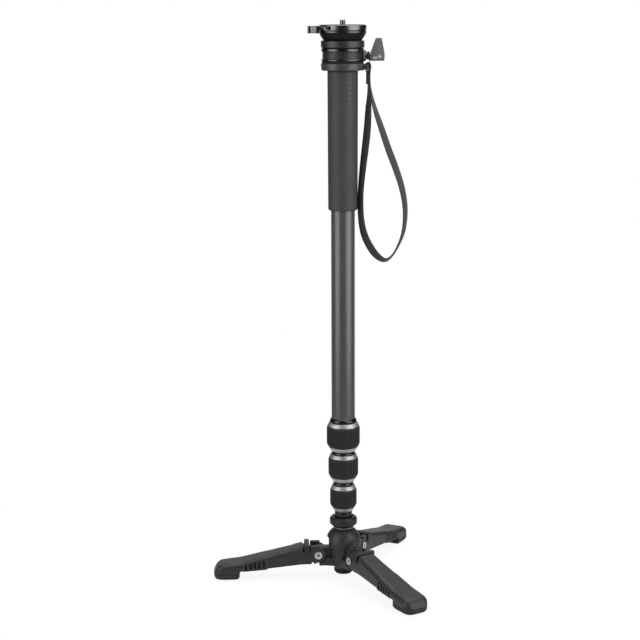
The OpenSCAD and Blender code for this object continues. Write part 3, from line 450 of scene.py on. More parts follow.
def turned(name, loop, steps=120):
    """A closed loop of (radius, height) points turned round the column, with a UV map in metres."""
    count = len(loop)
    verts = []
    for step in range(steps):
        angle = math.tau * step / steps
        verts += [(r * math.cos(angle), r * math.sin(angle), z) for r, z in loop]
    faces = []
    for step in range(steps):
        here = step * count
        there = (step + 1) % steps * count
        for row in range(count):
            above = (row + 1) % count
            faces.append((here + row, there + row, there + above, here + above))
    piece = new_piece(name, verts, faces)
    runs = [0.0]
    for (r0, z0), (r1, z1) in zip(loop, loop[1:] + loop[:1]):
        runs.append(runs[-1] + math.hypot(r1 - r0, z1 - z0))
    girth = math.tau * max(r for r, z in loop)
    chart = piece.data.uv_layers.new(name="UVMap").data
    for index, face in enumerate(piece.data.polygons):
        step, row = divmod(index, count)
        for corner, (around, along) in zip(face.loop_indices, ((0, 0), (1, 0), (1, 1), (0, 1))):
            chart[corner].uv = (girth * (step + around) / steps, runs[row + along])
    shape = bmesh.new()
    shape.from_mesh(piece.data)
    bmesh.ops.remove_doubles(shape, verts=shape.verts, dist=1e-8)
    shape.to_mesh(piece.data)
    shape.free()
    return plain(piece)


def eased(loop, radius, steps=4):
    """The loop with each corner rounded by about this radius."""
    points = []
    for index, corner in enumerate(loop):
        here = Vector(corner)
        before = Vector(loop[index - 1]) - here
        after = Vector(loop[(index + 1) % len(loop)]) - here
        start = here + before.normalized() * min(radius, before.length * 0.45)
        end = here + after.normalized() * min(radius, after.length * 0.45)
        for step in range(steps + 1):
            part = step / steps
            points.append(tuple(start.lerp(here, part).lerp(here.lerp(end, part), part)))
    return points


def carbon_cloth():
    """Carbon cloth under resin, on a UV map in metres."""
    cell_across = 0.00138
    cell_along = 0.00168
    material, place, shader = finish("carbon_cloth", {
        "Specular IOR Level": 1.0, "Sheen Weight": 0.4, "Sheen Roughness": 0.35})
    chart = Wire(place.tree, place.tree.nodes.new("ShaderNodeUVMap").outputs["UV"])
    across = chart.node("ShaderNodeSeparateXYZ", None, {0: chart}, "X")
    along = chart.node("ShaderNodeSeparateXYZ", None, {0: chart}, "Y")
    wave = chart.math("COSINE", across * (math.pi / cell_across))
    wave = wave * chart.math("COSINE", along * (math.pi / cell_along))
    bundle = chart.node("ShaderNodeMapRange", {"interpolation_type": "SMOOTHSTEP"},
                        {0: wave, 1: -0.35, 2: 0.35})
    cloud = place.node("ShaderNodeTexNoise", None, {"Vector": place, "Scale": 140.0, "Detail": 3.0})
    (0.8 * bundle + 0.2 * cloud).blend(grey(0.004), grey(0.14)).feed(shader, "Base Color")
    (0.33 - 0.05 * bundle).feed(shader, "Roughness")
    wave.relief(0.00003).feed(shader, "Normal")
    return material


carbon = carbon_cloth()
tube_wall = 0.0011
for node, body in (("tube_1", "top_tube"), ("tube_2", "second_tube"), ("tube_3", "third_tube"),
                   ("tube_4", "lower_tube")):
    low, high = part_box(node)
    wall = [(high.x, low.z), (high.x, high.z), (high.x - tube_wall, high.z), (high.x - tube_wall, low.z)]
    fitted(turned(f"carbon_{node}", eased(wall, 0.0003)), carbon, body, "carbon_fibre", node)

# Twist locks: a black ferrule bonded on each outer tube, and a bright aluminium nut that turns on it and
# squeezes a collet. A rubber sleeve with ribs along it is moulded round each nut.


def copies_round():
    """A tree that sets copies of a sector round the column and joins their seams."""
    tree = bpy.data.node_groups.new("copies_round", "GeometryNodeTree")
    for name, kind, way in (("Sector", "NodeSocketGeometry", "INPUT"), ("Count", "NodeSocketInt", "INPUT"),
                            ("Finish", "NodeSocketMaterial", "INPUT"),
                            ("Ring", "NodeSocketGeometry", "OUTPUT")):
        tree.interface.new_socket(name, in_out=way, socket_type=kind)
    make = tree.nodes.new
    link = tree.links.new
    given = make("NodeGroupInput")
    points = make("GeometryNodePoints")
    turn = make("ShaderNodeMath")
    turn.operation = "DIVIDE"
    turn.inputs[0].default_value = math.tau
    angle = make("ShaderNodeMath")
    angle.operation = "MULTIPLY"
    spin = make("ShaderNodeCombineXYZ")
    place = make("GeometryNodeInstanceOnPoints")
    real = make("GeometryNodeRealizeInstances")
    merge = make("GeometryNodeMergeByDistance")
    merge.inputs["Distance"].default_value = 1e-6
    paint = make("GeometryNodeSetMaterial")
    result = make("NodeGroupOutput")
    link(given.outputs["Count"], points.inputs["Count"])
    link(given.outputs["Count"], turn.inputs[1])
    link(turn.outputs[0], angle.inputs[0])
    link(make("GeometryNodeInputIndex").outputs[0], angle.inputs[1])
    link(angle.outputs[0], spin.inputs["Z"])
    link(points.outputs[0], place.inputs["Points"])
    link(given.outputs["Sector"], place.inputs["Instance"])
    link(spin.outputs[0], place.inputs["Rotation"])
    link(place.outputs[0], real.inputs[0])
    link(real.outputs[0], merge.inputs["Geometry"])
    link(merge.outputs[0], paint.inputs["Geometry"])
    link(given.outputs["Finish"], paint.inputs["Material"])
    link(paint.outputs[0], result.inputs["Ring"])
    return tree


def grown(piece, tree, values):
    """Runs a piece through a tree with these named inputs, and keeps the result as its mesh."""
    modifier = piece.modifiers.new("Grown", "NODES")
    modifier.node_group = tree
    for socket in tree.interface.items_tree:
        if socket.in_out == "INPUT" and socket.name in values:
            modifier[socket.identifier] = values[socket.name]
    return plain(piece)


def rib_sector(name, loop, count):
    """One rib of a sleeve from a loop of (radius, height, depth of the groove beside it)."""
    across = ((0.0, 1.0), (0.13, 1.0), (0.20, 0.72), (0.27, 0.2), (0.36, 0.0), (0.64, 0.0), (0.73, 0.2),
              (0.80, 0.72), (0.87, 1.0), (1.0, 1.0))
    verts = []
    for part, share in across:
        angle = math.tau * part / count
        verts += [((r - share * depth) * math.cos(angle), (r - share * depth) * math.sin(angle), z)
                  for r, z, depth in loop]
    rows = len(loop)
    faces = []
    for column in range(len(across) - 1):
        here = column * rows
        for row in range(rows):
            above = (row + 1) % rows
            faces.append((here + row, here + rows + row, here + rows + above, here + above))
    return new_piece(name, verts, faces)


black_ferrule = machined("black_ferrule", 0.08, 1.0, 0.22)
ribbed_rubber = moulded("ribbed_rubber", 0.027, 0.6, 2600.0, 0.00004, {"Specular IOR Level": 0.25})
round_tree = copies_round()
rib_pitch = 0.0028
groove_depth = 0.00065
for number, lock_body, tube_body in ((1, "nut_1", "top_tube"), (2, "nut_2", "second_tube"),
                                     (3, "nut_3", "third_tube")):
    fitted(softened(f"ferrule_{number}", f"ferrule_turned_{number}", 0.0003), black_ferrule, tube_body,
           "black_aluminium", f"ferrule_{number}")
    fitted(softened(f"lock_nut_{number}", f"nut_turned_{number}", 0.0003), bright_turned, lock_body,
           "bright_aluminium", f"lock_nut_{number}")
    low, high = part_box(f"lock_grip_{number}")
    outer = high.x
    core = outer - 0.0026
    bottom = low.z
    top = high.z
    sleeve = [
        (core, bottom, 0.0), (outer - 0.0021, bottom, 0.0), (outer - 0.0016, bottom + 0.0007, 0.0),
        (outer - 0.00105, bottom + 0.0017, 0.0), (outer - 0.0006, bottom + 0.0025, 0.0),
        (outer - 0.00025, bottom + 0.0034, groove_depth * 0.3),
        (outer - 0.00006, bottom + 0.0041, groove_depth * 0.85),
        (outer, bottom + 0.0048, groove_depth), (outer, top - 0.0032, groove_depth),
        (outer, top - 0.0026, groove_depth * 0.8), (outer - 0.00003, top - 0.0019, groove_depth * 0.2),
        (outer - 0.00015, top - 0.0013, 0.0), (outer - 0.0004, top - 0.0006, 0.0),
        (outer - 0.0007, top, 0.0), (core, top, 0.0),
    ]
    ribs = round(math.tau * outer / rib_pitch)
    grip = grown(rib_sector(f"ribbed_sleeve_{number}", sleeve, ribs), round_tree,
                 {"Count": ribs, "Finish": ribbed_rubber})
    fitted(grip, ribbed_rubber, lock_body, "rubber", f"lock_grip_{number}")

# Grip: a thick rubber sleeve slid on the top tube, a little fuller at the top. A fine channel outlines a
# long smooth panel on its front, and low bars for the fingers run down its right; their rubber is painted
# lighter, a painted highlight where they catch the lamp.
low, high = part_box("grip_sleeve")
grip_low = low.z
grip_high = high.z
grip_top_r = high.x
grip_bottom_r = grip_top_r - 0.0004
panel_turn = math.radians(-106.0)
panel_half = math.radians(55.0)
panel_end = 0.4314
panel_bend = 0.022
channel_depth = 0.0004
channel_half = 0.0006
crease_height = 0.4464
crease_half = 0.0028
crease_depth = 0.0002
bar_turn = math.radians(-62.3)
bar_half = 0.0022
bar_pitch = 0.0054
bar_first = 0.5606
bar_count = 11
bar_rise = 0.0003
bar_soft = 0.0011


def grip_radius(angle, height):
    """The sleeve's outer radius, with the channel round its panel cut in, and how far it is on a bar."""
    part = (height - grip_low) / (grip_high - grip_low)
    radius = grip_bottom_r + (grip_top_r - grip_bottom_r) * part
    side = math.remainder(angle - panel_turn, math.tau) * radius
    edge = panel_half * radius
    rise = height - panel_end
    if rise < panel_bend:
        reach = math.hypot(side / edge, (panel_bend - rise) / panel_bend)
        gap = abs(reach - 1.0) * min(edge, panel_bend)
    else:
        gap = abs(abs(side) - edge)
    channel = channel_depth * math.exp(-((gap / channel_half) ** 2))
    if abs(side + crease_half) < 2 * crease_half:
        crease = crease_depth * math.exp(-(((height - crease_height) / channel_half) ** 2))
        channel += crease * (1 - abs(side + crease_half) / (2 * crease_half))
    bar = round((bar_first - height) / bar_pitch)
    swell = 0.0
    if 0 <= bar < bar_count:
        off = height - bar_first + bar * bar_pitch
        reach = math.remainder(angle - bar_turn, math.tau) * radius / bar_half
        share = min(1.0, (bar + 1.5) / 3.5) * (1 - bar / bar_count)
        swell = bar_rise * share * math.exp(-((off / bar_soft) ** 2)) * math.exp(-(reach ** 4))
    return radius - channel + swell, swell / bar_rise


grip_steps = 240
grip_rows = 310
end_ease = 0.0016
ends = [(0.0, end_ease), (0.00012, 0.0010), (0.0004, 0.0005), (0.0009, 0.00015), (end_ease, 0.0)]
heights = [(grip_low + rise, trim) for rise, trim in ends]
for row in range(1, grip_rows):
    heights.append((grip_low + end_ease + (grip_high - grip_low - 2 * end_ease) * row / grip_rows, 0.0))
heights += [(grip_high - rise, trim) for rise, trim in reversed(ends)]
tube_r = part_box("tube_1")[1].x
verts = []
# Painted highlight: how far each point is on a finger bar, which makes the rubber lighter there.
bar_highlight = []
for step in range(grip_steps):
    angle = math.tau * step / grip_steps
    column = []
    for z, trim in heights:
        radius, bar = grip_radius(angle, z)
        column.append((radius - trim, z))
        bar_highlight.append(bar)
    column += [(tube_r, grip_high), (tube_r, grip_low)]
    bar_highlight += [0.0, 0.0]
    verts += [(r * math.cos(angle), r * math.sin(angle), z) for r, z in column]
rows = len(heights) + 2
faces = []
for step in range(grip_steps):
    here = step * rows
    there = (step + 1) % grip_steps * rows
    for row in range(rows):
        above = (row + 1) % rows
        faces.append((here + row, there + row, there + above, here + above))
# The rubber is painted 2.2 times lighter on the bars: a painted highlight.
grip_rubber = moulded("grip_rubber", 0.05, 0.56, 1900.0, 0.00006, {"Specular IOR Level": 0.45},
                      ("bar", 2.2))
grip = new_piece("rubber_grip", verts, faces)
grip.data.attributes.new("bar", "FLOAT", "POINT").data.foreach_set("value", bar_highlight)
fitted(plain(grip), grip_rubber, "top_tube", "rubber", "grip_sleeve")

# Strap collar: a satin black turned ring bonded on the tube under the head, with a lug that has a bar for
# the wrist strap. A black washer fills the gap between it and the head.
collar_grey = machined("collar_grey", 0.085, 0.5, 0.42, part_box("strap_collar")[1].y + 0.0002)
fitted(softened("strap_collar", "strap_ring", 0.0004), collar_grey, "top_tube", "black_aluminium",
       "strap_collar")
washer_r = 0.0223
washer_bore = 0.0181
washer_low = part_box("strap_collar")[1].z
washer_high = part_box("head_base")[0].z - 0.00015
washer = [(washer_bore, washer_low), (washer_r, washer_low), (washer_r, washer_high),
          (washer_bore, washer_high)]
fitted(turned("head_washer", eased(washer, 0.0003)), soft_rubber, "top_tube", "rubber")

# Wrist strap: a flat webbing loop, 10 mm wide, sewn round the lug's bar and sewn to itself under it.
# It hangs free beside the grip under its own spring. Its route is in millimetres, its twist in degrees.
strap_width = 0.010
strap_thick = 0.0015
strap_steps = 7
route_lift = 0.128
strap_route = (
    (25.7, 0, 548.5, 0), (25.8, 0, 555, 0), (25.8, 0, 560, 0), (25.2, 0, 563.2, 0), (24.75, 0, 566, 0),
    (24.85, 0, 568.6, 0), (25.7, 0, 570.2, 0), (27.3, 0, 570.75, 0), (28.9, 0, 570.1, 0),
    (29.65, 0, 568, 0), (29.55, 0, 565, 0), (29.1, 0, 562, 0), (28.8, 0, 557, 0), (29.1, 0, 549, 0),
    (31.0, 0, 536, 12), (34.9, -0.5, 521, 25), (42, -1, 500, 38), (49.5, -1, 478, 43), (57.5, -1, 457, 42),
    (64.4, 0, 435, 37), (67.7, 0, 413, 31), (66.3, 0, 391, 24), (61, 0, 375, 15), (53.9, 0, 362.7, 13),
    (46.0, -0.5, 357.5, 30), (36.9, -1, 362.6, 49), (29, -1.5, 373.5, 52), (23.3, -2, 386, 47),
    (20.2, -2.5, 400, 39), (19.1, -3, 416, 34), (19.4, -3, 435, 34), (21.4, -2.5, 457, 40),
    (23.9, -2, 478, 46), (26.3, -1.5, 500, 46), (27.5, -0.5, 521, 36), (28.1, 0, 537, 16),
    (27.45, 0, 549, 0), (27.3, 0, 556, 0), (27.3, 0, 563.2, 0))


def smooth_route(points, steps):
    """Points on a smooth curve through the given ones, which may have any number of parts."""
    out = []
    last = len(points) - 1
    for index in range(last):
        knots = [points[max(0, min(last, index + shift))] for shift in (-1, 0, 1, 2)]
        for step in range(steps):
            t = step / steps
            out.append(tuple(
                0.5 * (2 * b + (c - a) * t + (2 * a - 5 * b + 4 * c - d) * t ** 2
                       + (3 * b - a - 3 * c + d) * t ** 3)
                for a, b, c, d in zip(*knots)))
    out.append(tuple(points[-1]))
    return out


rings = smooth_route([(x / 1000, y / 1000, (z + route_lift) / 1000, turn) for x, y, z, turn in strap_route],
                     strap_steps)
section = []
for side, start in ((1, -90), (-1, 90)):
    for step in range(7):
        bend = math.radians(start + 30 * step)
        section.append((side * (strap_width - strap_thick) / 2 + math.cos(bend) * strap_thick / 2,
                        math.sin(bend) * strap_thick / 2))
places = [Vector(ring[:3]) for ring in rings]
verts = []
for index, (place, ring) in enumerate(zip(places, rings)):
    along = (places[min(index + 1, len(places) - 1)] - places[max(index - 1, 0)]).normalized()
    across = (Vector((0, 1, 0)) - along * along.y).normalized()
    up = along.cross(across)
    turn = math.radians(ring[3])
    wide = across * math.cos(turn) + up * math.sin(turn)
    thick = along.cross(wide)
    verts += [place + wide * a + thick * b for a, b in section]
girth = len(section)
faces = [tuple(range(girth))]
for index in range(len(places) - 1):
    for corner in range(girth):
        after = (corner + 1) % girth
        faces.append((index * girth + corner, (index + 1) * girth + corner, (index + 1) * girth + after,
                      index * girth + after))
faces.append(tuple(reversed(range(len(verts) - girth, len(verts)))))
strap = new_piece("strap_webbing", verts, faces)
runs = [0.0]
for before, after in zip(places, places[1:]):
    runs.append(runs[-1] + (after - before).length)
chart = strap.data.uv_layers.new(name="UVMap").data
for face in strap.data.polygons:
    for corner in face.loop_indices:
        ring, spot = divmod(strap.data.loops[corner].vertex_index, girth)
        chart[corner].uv = (section[spot][0] + strap_width / 2, runs[ring])


def woven_nylon():
    """Black webbing: rows of tight weft ribs, offset from one warp column to the next."""
    column = 0.00125
    rib = 0.0009
    material, place, shader = finish("woven_nylon", {"Sheen Weight": 0.25, "Sheen Roughness": 0.5})
    chart = Wire(place.tree, place.tree.nodes.new("ShaderNodeUVMap").outputs["UV"])
    across = chart.node("ShaderNodeSeparateXYZ", None, {0: chart}, "X")
    along = chart.node("ShaderNodeSeparateXYZ", None, {0: chart}, "Y")
    shift = chart.math("FLOOR", across * (1 / column)) * 0.5
    ribs = chart.math("ABSOLUTE", chart.math("SINE", (along * (1 / rib) + shift) * math.pi))
    warp = chart.math("ABSOLUTE", chart.math("SINE", across * (math.pi / column)))
    weave = chart.math("POWER", ribs * warp, 0.5)
    fuzz = place.node("ShaderNodeTexNoise", None, {"Vector": place, "Scale": 2500.0, "Detail": 3.0})
    (0.7 * weave + 0.3 * fuzz).blend(grey(0.010), grey(0.060)).feed(shader, "Base Color")
    (0.85 - 0.15 * weave).feed(shader, "Roughness")
    (weave + 0.3 * fuzz).relief(0.00012).feed(shader, "Normal")
    return material


fitted(plain(strap), woven_nylon(), "top_tube", "webbing", "wrist_strap")

# Head: a black turned base with a waist between two rims, a satin clamp ring over it, and the bowl that
# they hold. The waist is bare. The boss on the right has a flange, and carries the bush of the lock.


def moved(piece, matrix):
    """The piece with its mesh moved by a matrix, so that its object stays at the origin."""
    piece.data.transform(matrix)
    return piece


black_anodised = machined("black_anodised", 0.10, 1.0, 0.28)
clamp_black = machined("clamp_black", 0.055, 0.6, 0.4)
bowl_black = machined("bowl_black", 0.02, 0.6, 0.42)
fitted(softened("head_base", "head_turned", 0.0003), black_anodised, "head", "black_aluminium", "head_base")
fitted(softened("knob_bush", "lock_bush", 0.0003), gloss_black, "head", "black_aluminium", "knob_bush")
fitted(softened("clamp_ring", "clamp_turned", 0.0004), clamp_black, "head", "black_aluminium", "clamp_ring")
fitted(softened("half_ball", "level_bowl", 0.0003), bowl_black, "leveller", "black_aluminium", "half_ball")
lock_z = sum(corner.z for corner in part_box("paddle_screw")) / 2
boss_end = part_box("head_base")[1].x
flange_r = 0.0062
boss_r = 0.00501
flange = [(boss_r, -0.0026), (flange_r, -0.0026), (flange_r, -0.0002), (flange_r - 0.0008, 0.0),
          (boss_r, 0.0)]
along_x = Matrix.Rotation(math.radians(90.0), 4, "Y")
waist_r = 0.02161
waist_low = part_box("head_base")[0].z + 0.0027
waist_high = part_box("head_base")[1].z - 0.0039
band = [(waist_r - 0.0005, waist_low), (waist_r + 0.00008, waist_low), (waist_r + 0.00008, waist_high),
        (waist_r - 0.0005, waist_high)]
band_black = machined("band_black", 0.05, 0.7, 0.44)
fitted(turned("waist_band", band), band_black, "head", "black_aluminium")
bowl_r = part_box("half_ball")[1].x
bowl_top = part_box("half_ball")[1].z
rim = [(bowl_r - 0.001, bowl_top - 0.0025), (bowl_r + 0.00015, bowl_top - 0.0025),
       (bowl_r + 0.00015, bowl_top - 0.0002), (bowl_r - 0.001, bowl_top - 0.0002)]
fitted(turned("bowl_rim", eased(rim, 0.0009, 6)), black_anodised, "leveller", "black_aluminium")
boss_flange = moved(turned("boss_flange", eased(flange, 0.0002), 72),
                    Matrix.Translation((boss_end, 0.0, lock_z)) @ along_x)
boss_grey = machined("boss_grey", 0.16, 0.3, 0.5)
fitted(boss_flange, boss_grey, "head", "black_aluminium")

# Lock paddle: a grey moulded wing on the lock screw, with a ribbed black sleeve on its neck. A double arrow
# and a padlock are printed on its front.


def slab(name, outlines, front, back):
    """Flat outlines of (x, z) points, each filled between two depths along Y."""
    verts = []
    faces = []
    for outline in outlines:
        first = len(verts)
        count = len(outline)
        verts += [(x, front, z) for x, z in outline] + [(x, back, z) for x, z in outline]
        faces.append(tuple(range(first, first + count)))
        faces.append(tuple(range(first + 2 * count - 1, first + count - 1, -1)))
        for index in range(count):
            after = (index + 1) % count
            faces.append((first + index, first + count + index, first + count + after, first + after))
    piece = new_piece(name, verts, faces)
    shape = bmesh.new()
    shape.from_mesh(piece.data)
    bmesh.ops.recalc_face_normals(shape, faces=shape.faces)
    shape.to_mesh(piece.data)
    shape.free()
    return piece


low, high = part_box("lock_paddle")
paddle_grey = moulded("paddle_grey", 0.145, 0.5, 1700.0, 0.00004, {"Specular IOR Level": 0.3})
wing = [(x / 1000, lock_z + z / 1000) for x, z in (
    (28.9, -5.4), (44.5, -5.5), (44.7, 1.5), (44.2, 4.8), (41.7, 18.0), (41.1, 18.6), (35.9, 18.6),
    (35.2, 18.0), (29.5, 2.6), (28.7, 0.0))]
fitted(rounded(slab("paddle_wing", [wing], low.y, high.y), 0.0005), paddle_grey, "paddle",
       "paddle_plastic", "lock_paddle")
fitted(softened("paddle_screw", "paddle_bolt", 0.0002), bright_steel, "paddle", "steel", "paddle_screw")
neck_ribs = 18
neck_r = 0.0022
neck_out = 0.0043
neck_end = 0.0033
neck = [(neck_r, 0.0, 0.0), (neck_out - 0.0003, 0.0, 0.0), (neck_out, 0.0004, 0.0004),
        (neck_out, neck_end - 0.0004, 0.0004), (neck_out - 0.0003, neck_end, 0.0), (neck_r, neck_end, 0.0)]
neck_sleeve = grown(rib_sector("neck_sleeve", neck, neck_ribs), round_tree,
                    {"Count": neck_ribs, "Finish": ribbed_rubber})
moved(neck_sleeve, Matrix.Translation((low.x, 0.0, lock_z)) @ along_x)
fitted(neck_sleeve, ribbed_rubber, "paddle", "rubber")
print_face = low.y - 0.00006
print_back = low.y + 0.0002
arrow_x = 0.0344
arrow_z = 0.5764
arrow = [[(arrow_x + side * 0.0004, arrow_z - 0.0013), (arrow_x + side * 0.0024, arrow_z),
          (arrow_x + side * 0.0004, arrow_z + 0.0013)] for side in (-1, 1)]
padlock_x = 0.0394
padlock_z = 0.5764
shackle = []
for radius, turns in ((0.0014, range(0, 181, 20)), (0.0009, range(180, -1, -20))):
    shackle += [(padlock_x + radius * math.cos(math.radians(turn)),
                 padlock_z + 0.0018 + 1.3 * radius * math.sin(math.radians(turn))) for turn in turns]
body = [(padlock_x + x, padlock_z + z)
        for x, z in ((-0.0018, 0.0), (0.0018, 0.0), (0.0018, 0.0018), (-0.0018, 0.0018))]
print_white = moulded("print_white", 0.75, 0.6, 1500.0, 0.00001)
print_pale = moulded("print_pale", 0.5, 0.6, 1500.0, 0.00001)
fitted(plain(slab("arrow_print", arrow, print_face, print_back)), print_white, "paddle", "paddle_plastic")
fitted(plain(slab("padlock_print", [shackle, body], print_face, print_back)), print_pale, "paddle",
       "paddle_plastic")

# Camera plate: a black turned disc with a rubber ring let into its face. The camera screw comes up through
# its middle, grub screws sit in its rim, and a light grey plate on the front of the lever on the left is a
# painted highlight, where the lever's face catches the lamp.


def coil():
    """A tree that winds a screw's thread: a helix with a round ridge along it."""
    tree = bpy.data.node_groups.new("thread_coil", "GeometryNodeTree")
    for name, kind, way in (("Geometry", "NodeSocketGeometry", "INPUT"),
                            ("Radius", "NodeSocketFloat", "INPUT"), ("Turns", "NodeSocketFloat", "INPUT"),
                            ("Length", "NodeSocketFloat", "INPUT"), ("Ridge", "NodeSocketFloat", "INPUT"),
                            ("Finish", "NodeSocketMaterial", "INPUT"),
                            ("Thread", "NodeSocketGeometry", "OUTPUT")):
        tree.interface.new_socket(name, in_out=way, socket_type=kind)
    make = tree.nodes.new
    link = tree.links.new
    given = make("NodeGroupInput")
    helix = make("GeometryNodeCurveSpiral")
    helix.inputs["Resolution"].default_value = 40
    ridge = make("GeometryNodeCurvePrimitiveCircle")
    ridge.inputs["Resolution"].default_value = 6
    wound = make("GeometryNodeCurveToMesh")
    wound.inputs["Fill Caps"].default_value = True
    real = make("GeometryNodeRealizeInstances")
    paint = make("GeometryNodeSetMaterial")
    result = make("NodeGroupOutput")
    link(given.outputs["Radius"], helix.inputs["Start Radius"])
    link(given.outputs["Radius"], helix.inputs["End Radius"])
    link(given.outputs["Turns"], helix.inputs["Rotations"])
    link(given.outputs["Length"], helix.inputs["Height"])
    link(given.outputs["Ridge"], ridge.inputs["Radius"])
    link(helix.outputs[0], wound.inputs["Curve"])
    link(ridge.outputs["Curve"], wound.inputs["Profile Curve"])
    link(wound.outputs[0], real.inputs[0])
    link(real.outputs[0], paint.inputs["Geometry"])
    link(given.outputs["Finish"], paint.inputs["Material"])
    link(paint.outputs[0], result.inputs["Thread"])
    return tree


plate_black = machined("plate_black", 0.16, 1.0, 0.28)
fitted(softened("camera_plate", "plate_turned", 0.0004), plate_black, "plate", "black_aluminium",
       "camera_plate")
fitted(softened("plate_pad", "plate_ring", 0.0002), soft_rubber, "plate", "rubber", "plate_pad")
low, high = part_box("camera_screw")
face_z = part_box("camera_plate")[1].z
head_r = high.x
head_z = low.z + 0.002
shoulder_r = 0.00357
core_r = 0.00262
ridge_r = 0.00045
thread_r = 0.003175
thread_pitch = 0.00127
stud = [(0.0, low.z), (head_r, low.z), (head_r, head_z), (shoulder_r, head_z), (shoulder_r, face_z),
        (core_r, face_z), (core_r, high.z - 0.0004), (core_r - 0.0004, high.z), (0.0, high.z)]
stud_steel = machined("stud_steel", 0.30, 1.0, 0.34)
fitted(turned("stud_turned", stud, 64), stud_steel, "plate", "steel", "camera_screw")
thread_len = high.z - face_z - 2.2 * ridge_r
thread = grown(new_piece("stud_thread", [], []), coil(), {
    "Radius": thread_r - ridge_r, "Turns": thread_len / thread_pitch, "Length": thread_len,
    "Ridge": ridge_r, "Finish": stud_steel})
moved(thread, Matrix.Translation((0.0, 0.0, face_z + ridge_r)))
fitted(thread, stud_steel, "plate", "steel")
rim_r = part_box("camera_plate")[1].x
grub_z = face_z - 0.0020
grub = [(0.0, -0.0010), (0.0012, -0.0010), (0.0012, 0.0), (0.0010, 0.00015), (0.0006, 0.00015),
        (0.0006, -0.0004), (0.0, -0.0004)]
for number, turn in ((1, 350.0), (2, 110.0)):
    spot = moved(turned(f"rim_grub_{number}", grub, 36), Matrix.Rotation(math.radians(turn), 4, "Z")
                 @ Matrix.Translation((rim_r + 0.0004, 0.0, grub_z)) @ along_x)
    fitted(spot, bright_steel, "plate", "steel")
fitted(softened("plate_lever", "lever_milled", 0.0005), plate_black, "lever", "black_aluminium",
       "plate_lever")
low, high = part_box("plate_lever")
# Painted highlight: a thin light grey plate on the lever's front stands in for the lamp's highlight on its
# face.
lever_front = -0.0177
highlight_left = -0.0341
highlight_right = -0.0281
highlight_in = 0.0005
highlight_face = [[(highlight_left, low.z + highlight_in), (highlight_right, low.z + highlight_in),
          (highlight_right, high.z - highlight_in), (highlight_left, high.z - highlight_in)]]
painted_highlight_grey = machined("painted_highlight_grey", 0.30, 0.1, 0.5)
fitted(plain(slab("lever_painted_highlight", highlight_face, lever_front - 0.00012, lever_front + 0.0004)), painted_highlight_grey, "lever",
       "bright_aluminium")
lever_grub = moved(turned("lever_grub", grub, 36), Matrix.Translation((-0.0180, low.y - 0.0001, 0.6058))
                   @ Matrix.Rotation(math.radians(90.0), 4, "X"))
fitted(lever_grub, bright_steel, "lever", "steel")

# Inner works: nylon bushes, collets and seats, and the plugs and screws that hold them. They show only
# where a piece moves off them, so they keep the shapes they have.
white_nylon = moulded("white_nylon", 0.55, 0.45, 900.0, 0.00003)
yellow_brass = machined("yellow_brass", 0.5, 1.0, 0.35)
for material, nodes in (
        (white_nylon, ("ball_cup", "ball_seat", "collet_1", "collet_2", "collet_3", "guide_bush_2",
                       "guide_bush_3", "guide_bush_4")),
        (bright_steel, ("cup_plug", "ball_bolt", "head_stud", "lever_pin")),
        (yellow_brass, ("brake_shoe",)),
        (satin_black, ("tube_plug",)),
        (bright_turned, ("ball_retainer",))):
    for node in nodes:
        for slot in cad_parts[node].material_slots:
            slot.material = material

# Studio: a pale round floor under soft lights at the front left, the front right and above, with a white
# surround that the lens and bright edges see. The camera stands where the photographer's did.
floor_z = cad_box[0].z - 0.0005
floor_r = 0.75
floor_steps = 96
ways = [math.tau * step / floor_steps for step in range(floor_steps)]
floor_rim = [(floor_r * math.cos(way), floor_r * math.sin(way), floor_z) for way in ways]
floor = new_piece("studio_floor", floor_rim, [tuple(range(floor_steps))])
floor_paint = bpy.data.materials.new("floor_paint")
floor_paint.use_nodes = True
tree = floor_paint.node_tree
tree.nodes.clear()
path = tree.nodes.new("ShaderNodeLightPath")
seen = Wire(tree, path.outputs["Is Camera Ray"])
seen = seen.math("MAXIMUM", seen, Wire(tree, path.outputs["Is Transmission Ray"]))
mirrored = Wire(tree, path.outputs["Is Glossy Ray"])
spot = Wire(tree, tree.nodes.new("ShaderNodeTexCoord").outputs["Object"])
flat = spot.node("ShaderNodeVectorMath", {"operation": "MULTIPLY"}, {0: spot, 1: (1.0, 1.0, 0.0)})
reach = spot.node("ShaderNodeVectorMath", {"operation": "LENGTH"}, {0: flat}, "Value")
rim = spot.node("ShaderNodeMapRange", {"interpolation_type": "SMOOTHSTEP"}, {0: reach, 1: 0.2, 2: 0.5})
matte = seen.node("ShaderNodeBsdfDiffuse", None, {"Color": grey(0.10)})
glow = seen.node("ShaderNodeEmission", None, {"Color": grey(1.0), "Strength": 0.90 * seen + 0.7 * mirrored})
near = seen.node("ShaderNodeAddShader", None, {0: matte, 1: glow})
far = seen.node("ShaderNodeEmission", None, {"Color": grey(1.0), "Strength": seen + 0.1 * mirrored})
both = seen.node("ShaderNodeMixShader", None, {0: rim, 1: near, 2: far})
both.feed(tree.nodes.new("ShaderNodeOutputMaterial"), "Surface")
floor.data.materials.append(floor_paint)

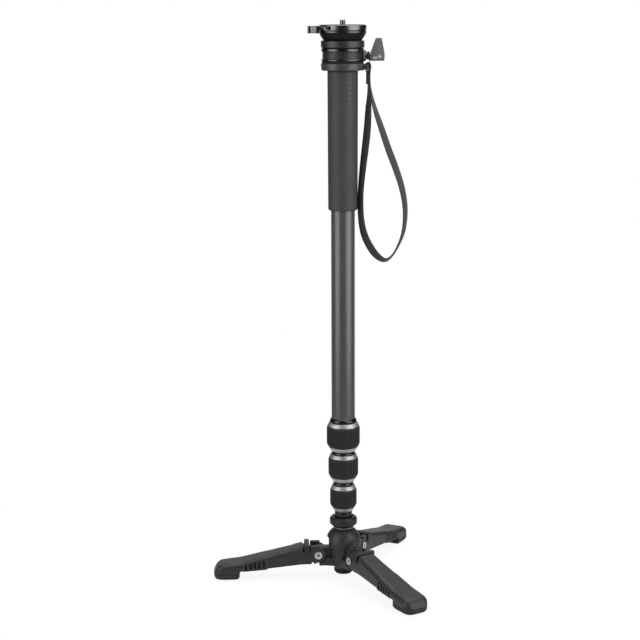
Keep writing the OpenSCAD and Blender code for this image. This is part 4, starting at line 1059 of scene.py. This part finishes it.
world = bpy.data.worlds.new("studio_surround")
bpy.context.scene.world = world
world.use_nodes = True
tree = world.node_tree
tree.nodes.clear()
path = tree.nodes.new("ShaderNodeLightPath")
camera_ray = Wire(tree, path.outputs["Is Camera Ray"])
mirror_ray = camera_ray.math("MAXIMUM", Wire(tree, path.outputs["Is Glossy Ray"]),
                             Wire(tree, path.outputs["Is Transmission Ray"]))
aim = Wire(tree, tree.nodes.new("ShaderNodeTexCoord").outputs["Generated"])
depth = aim.node("ShaderNodeSeparateXYZ", None, {0: aim}, "Y")
sweep = aim.node("ShaderNodeMapRange", {"interpolation_type": "SMOOTHSTEP"},
                 {0: depth, 1: 0.7, 2: 0.98, 3: 0.018, 4: 0.75})
fill = 0.2
level = mirror_ray * sweep + (1 - mirror_ray) * fill
level = camera_ray + (1 - camera_ray) * level
level.node("ShaderNodeBackground", None, {"Color": grey(1.0), "Strength": level}).feed(
    tree.nodes.new("ShaderNodeOutputWorld"), "Surface")

look_at = Vector((0.0, 0.0, 0.30))
for name, turn, distance, height, wide, tall, power in (
        ("softbox_left", -58.0, 1.15, 0.55, 0.95, 1.5, 10.5),
        ("softbox_right", 57.0, 1.15, 0.55, 1.15, 1.5, 13.5),
        ("softbox_top", 165.0, 0.35, 1.75, 1.5, 1.5, 24.0)):
    lamp = bpy.data.lights.new(name, "AREA")
    lamp.shape = "RECTANGLE"
    lamp.size = wide
    lamp.size_y = tall
    lamp.energy = power
    box = bpy.data.objects.new(name, lamp)
    bpy.context.collection.objects.link(box)
    way = math.radians(turn)
    box.location = (distance * math.sin(way), -distance * math.cos(way), height)
    box.rotation_euler = (look_at - box.location).to_track_quat("-Z", "Y").to_euler()
    box.visible_camera = False

camera = bpy.data.cameras.new("photo_camera")
camera.sensor_width = 36.0
camera.lens = 90.0
eye = bpy.data.objects.new("photo_camera", camera)
bpy.context.collection.objects.link(eye)
eye_at = (-0.02545, -1.729, 0.6366)
pitch = math.radians(90.0 - 11.3)
roll = math.radians(-0.26)
eye.matrix_world = (Matrix.Translation(eye_at) @ Matrix.Rotation(pitch, 4, "X")
                    @ Matrix.Rotation(roll, 4, "Z"))
bpy.context.scene.camera = eye
bpy.context.scene.view_settings.view_transform = "Standard"
